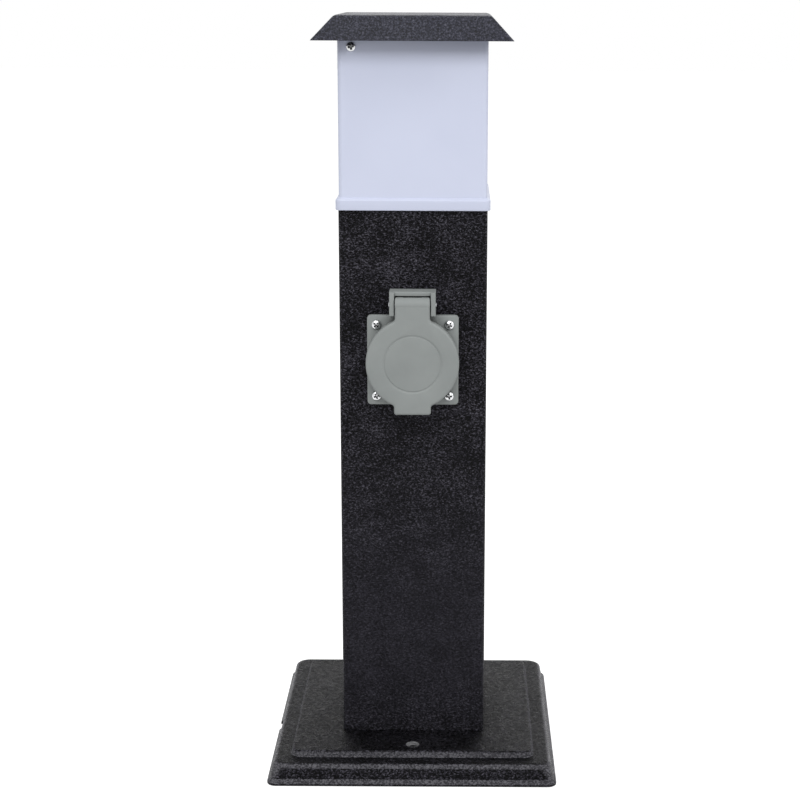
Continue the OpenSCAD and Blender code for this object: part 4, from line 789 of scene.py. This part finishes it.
WIRE = 2.4
BLOCK_Y, TAIL_Y = 25.5, -14.15
live_routes = [[(-12, BLOCK_Y, 88), (-12, BLOCK_Y, 100), (-11.25, 13.6, 131.7), (-10.25, -2.3, 173.9),
                (-PIN_X, TAIL_Y, 205.5), (-PIN_X, TAIL_Y, 220.5), (-PIN_X, TAIL_Y, 231)],
               [(-PIN_X, TAIL_Y, 234), (-PIN_X, TAIL_Y, 246), (-6.8, -9.2, 263.8), (-4.1, -4.2, 281.5),
                (-1.75, 0, 297), (-1.75, 0, 307), (-1.75, 0, 315)]]
neutral_routes = [[(0, BLOCK_Y, 88), (0, BLOCK_Y, 100), (2.85, 13.6, 131.7), (6.65, -2.3, 173.9),
                   (PIN_X, TAIL_Y, 205.5), (PIN_X, TAIL_Y, 220.5), (PIN_X, TAIL_Y, 231)],
                  [(PIN_X, TAIL_Y, 234), (PIN_X, TAIL_Y, 246), (6.8, -9.2, 263.8), (4.1, -4.2, 281.5),
                   (1.75, 0, 297), (1.75, 0, 307), (3.5, 0, 313.6), (8, 0, 318.6)]]
earth_routes = [[(25.6, 27.3, 84.2), (29, 27.3, 87.1), (32, 26.8, 92.1), (30.6, 20.6, 119.4),
                 (20, 14.3, 147.9), (8, 4.1, 175.7), (0, TAIL_Y, 203.6), (0, TAIL_Y, 210.6),
                 (0, TAIL_Y, 216.1)],
                [(12, BLOCK_Y, 88), (12, BLOCK_Y, 97), (13.1, 26.85, 102.5), (16.25, 26.85, 105),
                 (19.4, 26.85, 102.5), (20.5, 28.2, 96.1), (20.5, 28.2, 86.6)]]
brown = (0.1, 0.035, 0.014), (0.16, 0.06, 0.025)
blue = (0.02, 0.075, 0.28), (0.04, 0.12, 0.4)
green = (0.24, 0.34, 0.03), (0.36, 0.48, 0.06)
for name, routes, node, slot, (low, high) in (
        ("live_wires_brown", live_routes, "live_wires", "brown_wire", brown),
        ("neutral_wires_blue", neutral_routes, "neutral_wires", "blue_wire", blue),
        ("earth_wires_green", earth_routes, "earth_wires", "green_wire", green)):
    wires = wire_piece(name, [easy_curve(route) for route in routes], WIRE)
    dress(soften(wires, 60), insulation(slot + "_insulation", low, high), slot, "post", node)


# Lamp bulb: a pearl glass globe on a screw base, standing in the holder inside the shade.
# The glass is frosted within, so it scatters what light it takes.
def pearl_glass():
    """White frosted glass."""
    material, tree, shader, place = new_finish("pearl_glass")
    frost = noise(tree, place, 70, 3.0)
    tree.links.new(ramp(tree, frost, [(0.3, (0.8, 0.8, 0.77)), (0.7, (0.88, 0.88, 0.86))]),
                   shader.inputs["Base Color"])
    tree.links.new(spread(tree, frost, 0.22, 0.34), shader.inputs["Roughness"])
    bump(tree, shader, noise(tree, place, 900, 2.0), 0.00003, 0.2)
    return material


paint(pearl_glass(), "bulb_globe")


# Shade seal: a square rubber ring cut from 1 mm sheet and laid on the tube's rim.
# The shade's shoulder stands on it and presses it down.
SHOULDER, SEAL_HALF, SEAL_HOLE = 318, 39.8, 37
seal_rings = [square_ring(SEAL_HALF, POST_R, z) for z in (POST_TOP, SHOULDER)]
seal_rings += [square_ring(SEAL_HOLE, 0.3, z) for z in (SHOULDER, POST_TOP)]
shade_seal = skin("shade_seal_ring", seal_rings, closed=True)
dress(soften(shade_seal), black_rubber, "rubber", "post", "shade_seal")


# Shade: a square opal moulding, 2.5 mm thick, with a stepped skirt that laps over the tube's rim.
# Two bosses inside take the screws from the lamp bracket, and two holes near its rim take the cap's screws.
def opal_acrylic():
    """Opal plastic, milky and faintly blue, with a soft gloss."""
    material, tree, shader, place = new_finish("opal_acrylic")
    cloud = noise(tree, place, 30, 2.0)
    tree.links.new(ramp(tree, cloud, [(0.3, (0.575, 0.61, 0.75)), (0.7, (0.59, 0.625, 0.765))]),
                   shader.inputs["Base Color"])
    tree.links.new(spread(tree, cloud, 0.3, 0.38), shader.inputs["Roughness"])
    shader.inputs["Specular IOR Level"].default_value = 0.35
    bump(tree, shader, noise(tree, place, 350, 1.5), 0.00004, 0.15)
    return material


opal = opal_acrylic()
SHADE_HALF, SHADE_IN, SHADE_R = 39.75, 37.25, 2.5
SKIRT_HALF, SKIRT_IN, SKIRT_R = 41.5, 40.3, 3.5
SKIRT_LOW, SKIRT_TOP, SKIRT_SLANT, RIM = 313.5, 320, 1.2, 412.7
BOSS_R, BOSS_IN, BOSS_Z = 4, 33, 327
side = rounded_path([(SKIRT_IN, SKIRT_LOW + 0.6, 0), (SKIRT_IN, SKIRT_LOW, 0.2), (SKIRT_HALF, SKIRT_LOW, 0.4),
                     (SKIRT_HALF, SKIRT_TOP - SKIRT_SLANT, 0.4), (SKIRT_HALF - SKIRT_SLANT, SKIRT_TOP, 0.3),
                     (SHADE_HALF, SKIRT_TOP, 0.3), (SHADE_HALF, RIM, 0.4), (SHADE_IN, RIM, 0.4),
                     (SHADE_IN, RIM - 1, 0)], 3)
rings = []
for half, z in side:
    corner = SKIRT_HALF - SKIRT_R if z < SKIRT_TOP - 0.01 and half > SHADE_HALF else SHADE_HALF - SHADE_R
    rings.append(square_ring(half, max(half - corner, 0.4), z))
rings.append(square_ring(SHADE_IN, 0.4, SHOULDER))
rings.append(square_ring(SKIRT_IN, SKIRT_IN - SKIRT_HALF + SKIRT_R, SHOULDER))
shade = skin("opal_shade", rings, closed=True)


def sideways(piece, turn):
    """Turns a boss or its bore from the z axis to the x axis, on the right or, turned round, on the left."""
    lift = Matrix.Translation((0, 0, BOSS_Z / 1000))
    side_on = Matrix.Rotation(math.pi / 2, 4, "Y")
    piece.data.transform(Matrix.Rotation(math.radians(turn), 4, "Z") @ lift @ side_on)
    return piece


carve(shade, [sideways(shaft(BOSS_R, BOSS_IN, 38.5), turn) for turn in (0, 180)], "UNION")
carve(shade, [sideways(shaft(TAPPED_R, BOSS_IN - 1, 37.6, steps=24), turn) for turn in (0, 180)])
CAP_SCREW_X, CAP_SCREW_Z = 32.4, 399.5


def at_cap_screw(turn):
    """The place of a cap screw: its head's seat on the shade's face, front left or back right."""
    out = Matrix(((1, 0, 0, -CAP_SCREW_X / 1000), (0, 0, -1, -SHADE_HALF / 1000),
                  (0, 1, 0, CAP_SCREW_Z / 1000), (0, 0, 0, 1)))
    return Matrix.Rotation(math.radians(turn), 4, "Z") @ out


holes = []
for turn in (0, 180):
    holes.append(shaft(SCREW_HOLE_R, -4, 2, steps=32))
    holes[-1].data.transform(at_cap_screw(turn))
carve(shade, holes)
dress(soften(shade), opal, "opal", "post", "shade")


# Roof cap: a shallow pyramid of pressed sheet with a flat top and softly rounded upper edges.
# It sits on two small brackets inside the shade and carries a fine dark grey texture coat.
def cap_coat():
    """Fine dark grey texture coat with paler specks."""
    material, tree, shader, place = new_finish("grey_texture_coat")
    speck = noise(tree, place, 1080, 2.5, 0.6, 0.5, (1, 1, 0.4))
    patch = noise(tree, place, 30, 2.0)
    colour = ramp(tree, speck, [(0.37, (0.003, 0.0033, 0.006)), (0.5, (0.0145, 0.0153, 0.0255)),
                                (0.6, (0.038, 0.0388, 0.056)), (0.72, (0.08, 0.081, 0.107))])
    tree.links.new(colour, shader.inputs["Base Color"])
    tree.links.new(spread(tree, patch, 0.42, 0.52), shader.inputs["Roughness"])
    shader.inputs["Specular IOR Level"].default_value = 0.18
    bump(tree, shader, speck, 0.0005, 0.8)
    return material


CAP_HALF, CAP_TOP_HALF, CAP_FLAT, CAP_LOW, CAP_TOP, CAP_R = 53, 41, 30, 403, 416, 4.0
CAP_UNDER, CAP_UNDER_HALF, CAP_EDGE = CAP_TOP - 1.8, 40.21, 2.45
outer = rounded_path([(CAP_HALF - 1.2, CAP_LOW, 0), (CAP_HALF, CAP_LOW, 0.15), (CAP_TOP_HALF, CAP_TOP, CAP_R),
                      (CAP_FLAT, CAP_TOP, 0)], 8)
inner = rounded_path([(CAP_FLAT, CAP_UNDER, 0), (CAP_UNDER_HALF, CAP_UNDER, 2.2),
                      (CAP_HALF - CAP_EDGE, CAP_LOW, 0.15), (CAP_HALF - 1.3, CAP_LOW, 0)], 8)
roof_cap = skin("roof_cap_pressing", [square_ring(half, 0.9, z) for half, z in inner + outer])
dress(soften(roof_cap), cap_coat(), "grey_coat", "post", "roof_cap")


# Cap screws: two cross-head screws of plated steel, through the shade into the cap's brackets.
# One is at the front left and one at the back right, and both are painted darker as the cap's shadow.
CAP_SCREW, CAP_SCREW_SLOT = 10, 0.24
places = [at_cap_screw(turn) @ Matrix.Rotation(math.radians(spin), 4, "Z")
          for turn, spin in ((0, 12), (180, 40))]
cap_screw = screw_mesh(HEAD_R, HEAD_H, SHANK_R, CAP_SCREW, CAP_SCREW_SLOT)
cap_screws = screw_set("cap_screws_set", cap_screw, places)
# A darker copy of the plated steel, painted as the shadow under the cap's overhang, with painted shade
# reaching 3 mm.
cap_shadowed_steel = plated_steel("cap_shadowed_steel", (0.5, 0.51, 0.52), (0.68, 0.69, 0.7), 0.22, 0.003)
dress(cap_screws, cap_shadowed_steel, "bright_steel", "post", "cap_screws")


# Studio: a wide pale floor under an even white surround, with soft lamps in front, on the right and overhead.
# A fourth lamp lights the back. Sight, gloss and glass meet white; other rays meet a dimmer surround.
def white_to_sight(tree, bright, dim):
    """A strength that is bright for sight, gloss and glass, and dim for other rays."""
    path = tree.nodes.new("ShaderNodeLightPath")
    seen = tree.nodes.new("ShaderNodeMath")
    seen.operation = "ADD"
    tree.links.new(path.outputs["Is Camera Ray"], seen.inputs[0])
    tree.links.new(path.outputs["Is Glossy Ray"], seen.inputs[1])
    through = tree.nodes.new("ShaderNodeMath")
    through.operation = "ADD"
    through.use_clamp = True
    tree.links.new(seen.outputs["Value"], through.inputs[0])
    tree.links.new(path.outputs["Is Transmission Ray"], through.inputs[1])
    change = tree.nodes.new("ShaderNodeMapRange")
    change.inputs["To Min"].default_value = dim
    change.inputs["To Max"].default_value = bright
    tree.links.new(through.outputs["Value"], change.inputs["Value"])
    return change.outputs["Result"]


world = bpy.data.worlds.new("studio")
scene.world = world
world.use_nodes = True
surround = world.node_tree.nodes["Background"]
surround.inputs["Color"].default_value = (1, 1, 1, 1)
world.node_tree.links.new(white_to_sight(world.node_tree, 1.0, 0.54), surround.inputs["Strength"])

FLOOR_AT = -0.0003
floor_mesh = bpy.data.meshes.new("floor")
floor_corners = [(x, y, FLOOR_AT) for x, y in ((-6, -4), (6, -4), (6, 8), (-6, 8))]
floor_mesh.from_pydata(floor_corners, [], [(0, 1, 2, 3)])
floor = bpy.data.objects.new("floor", floor_mesh)
scene.collection.objects.link(floor)
pale = bpy.data.materials.new("pale_floor")
pale.use_nodes = True
floor_shader = pale.node_tree.nodes["Principled BSDF"]
floor_shader.inputs["Base Color"].default_value = (0.5, 0.5, 0.5, 1)
floor_shader.inputs["Roughness"].default_value = 0.9
floor_shader.inputs["Specular IOR Level"].default_value = 0.0
floor_shader.inputs["Emission Color"].default_value = (1, 1, 1, 1)
pale.node_tree.links.new(white_to_sight(pale.node_tree, 0.8, 0.1), floor_shader.inputs["Emission Strength"])
floor_mesh.materials.append(pale)


def soft_lamp(name, place, aim, wide, high, watts):
    """A broad lamp at a place, turned to the point it lights."""
    light = bpy.data.lights.new(name, "AREA")
    light.shape = "RECTANGLE"
    light.size = wide
    light.size_y = high
    light.energy = watts
    lamp = bpy.data.objects.new(name, light)
    scene.collection.objects.link(lamp)
    lamp.location = place
    lamp.rotation_euler = (Vector(aim) - Vector(place)).to_track_quat("-Z", "Y").to_euler()


soft_lamp("front_lamp", (-0.1, -1.5, 1.4), (0, 0, 0.2), 1.8, 0.8, 17)
soft_lamp("right_lamp", (1.6, -0.6, 1.1), (0, 0, 0.25), 1.0, 1.0, 5)
soft_lamp("top_lamp", (0, -0.3, 1.9), (0, 0, 0.3), 1.2, 1.2, 7.5)
soft_lamp("back_lamp", (0.3, 1.5, 1.3), (0, 0, 0.25), 1.4, 0.8, 8)

LENS_MM, SENSOR_MM = 77.59, 36
CAMERA_AT = (0.02523, -0.95723, 0.43153)
TILT_DOWN, TURN, ROLL = 0.21701, -0.00036, 0.005
SHIFT_ACROSS, SHIFT_UP = -0.075, -0.0441
camera_data = bpy.data.cameras.new("camera")
camera_data.lens = LENS_MM
camera_data.sensor_width = SENSOR_MM
camera_data.shift_x = SHIFT_ACROSS
camera_data.shift_y = SHIFT_UP
camera = bpy.data.objects.new("camera", camera_data)
scene.collection.objects.link(camera)
camera.matrix_world = (Matrix.Translation(CAMERA_AT) @ Matrix.Rotation(TURN, 4, "Z")
                       @ Matrix.Rotation(math.pi / 2 - TILT_DOWN, 4, "X") @ Matrix.Rotation(ROLL, 4, "Z"))
scene.camera = camera
scene.view_settings.view_transform = "Standard"
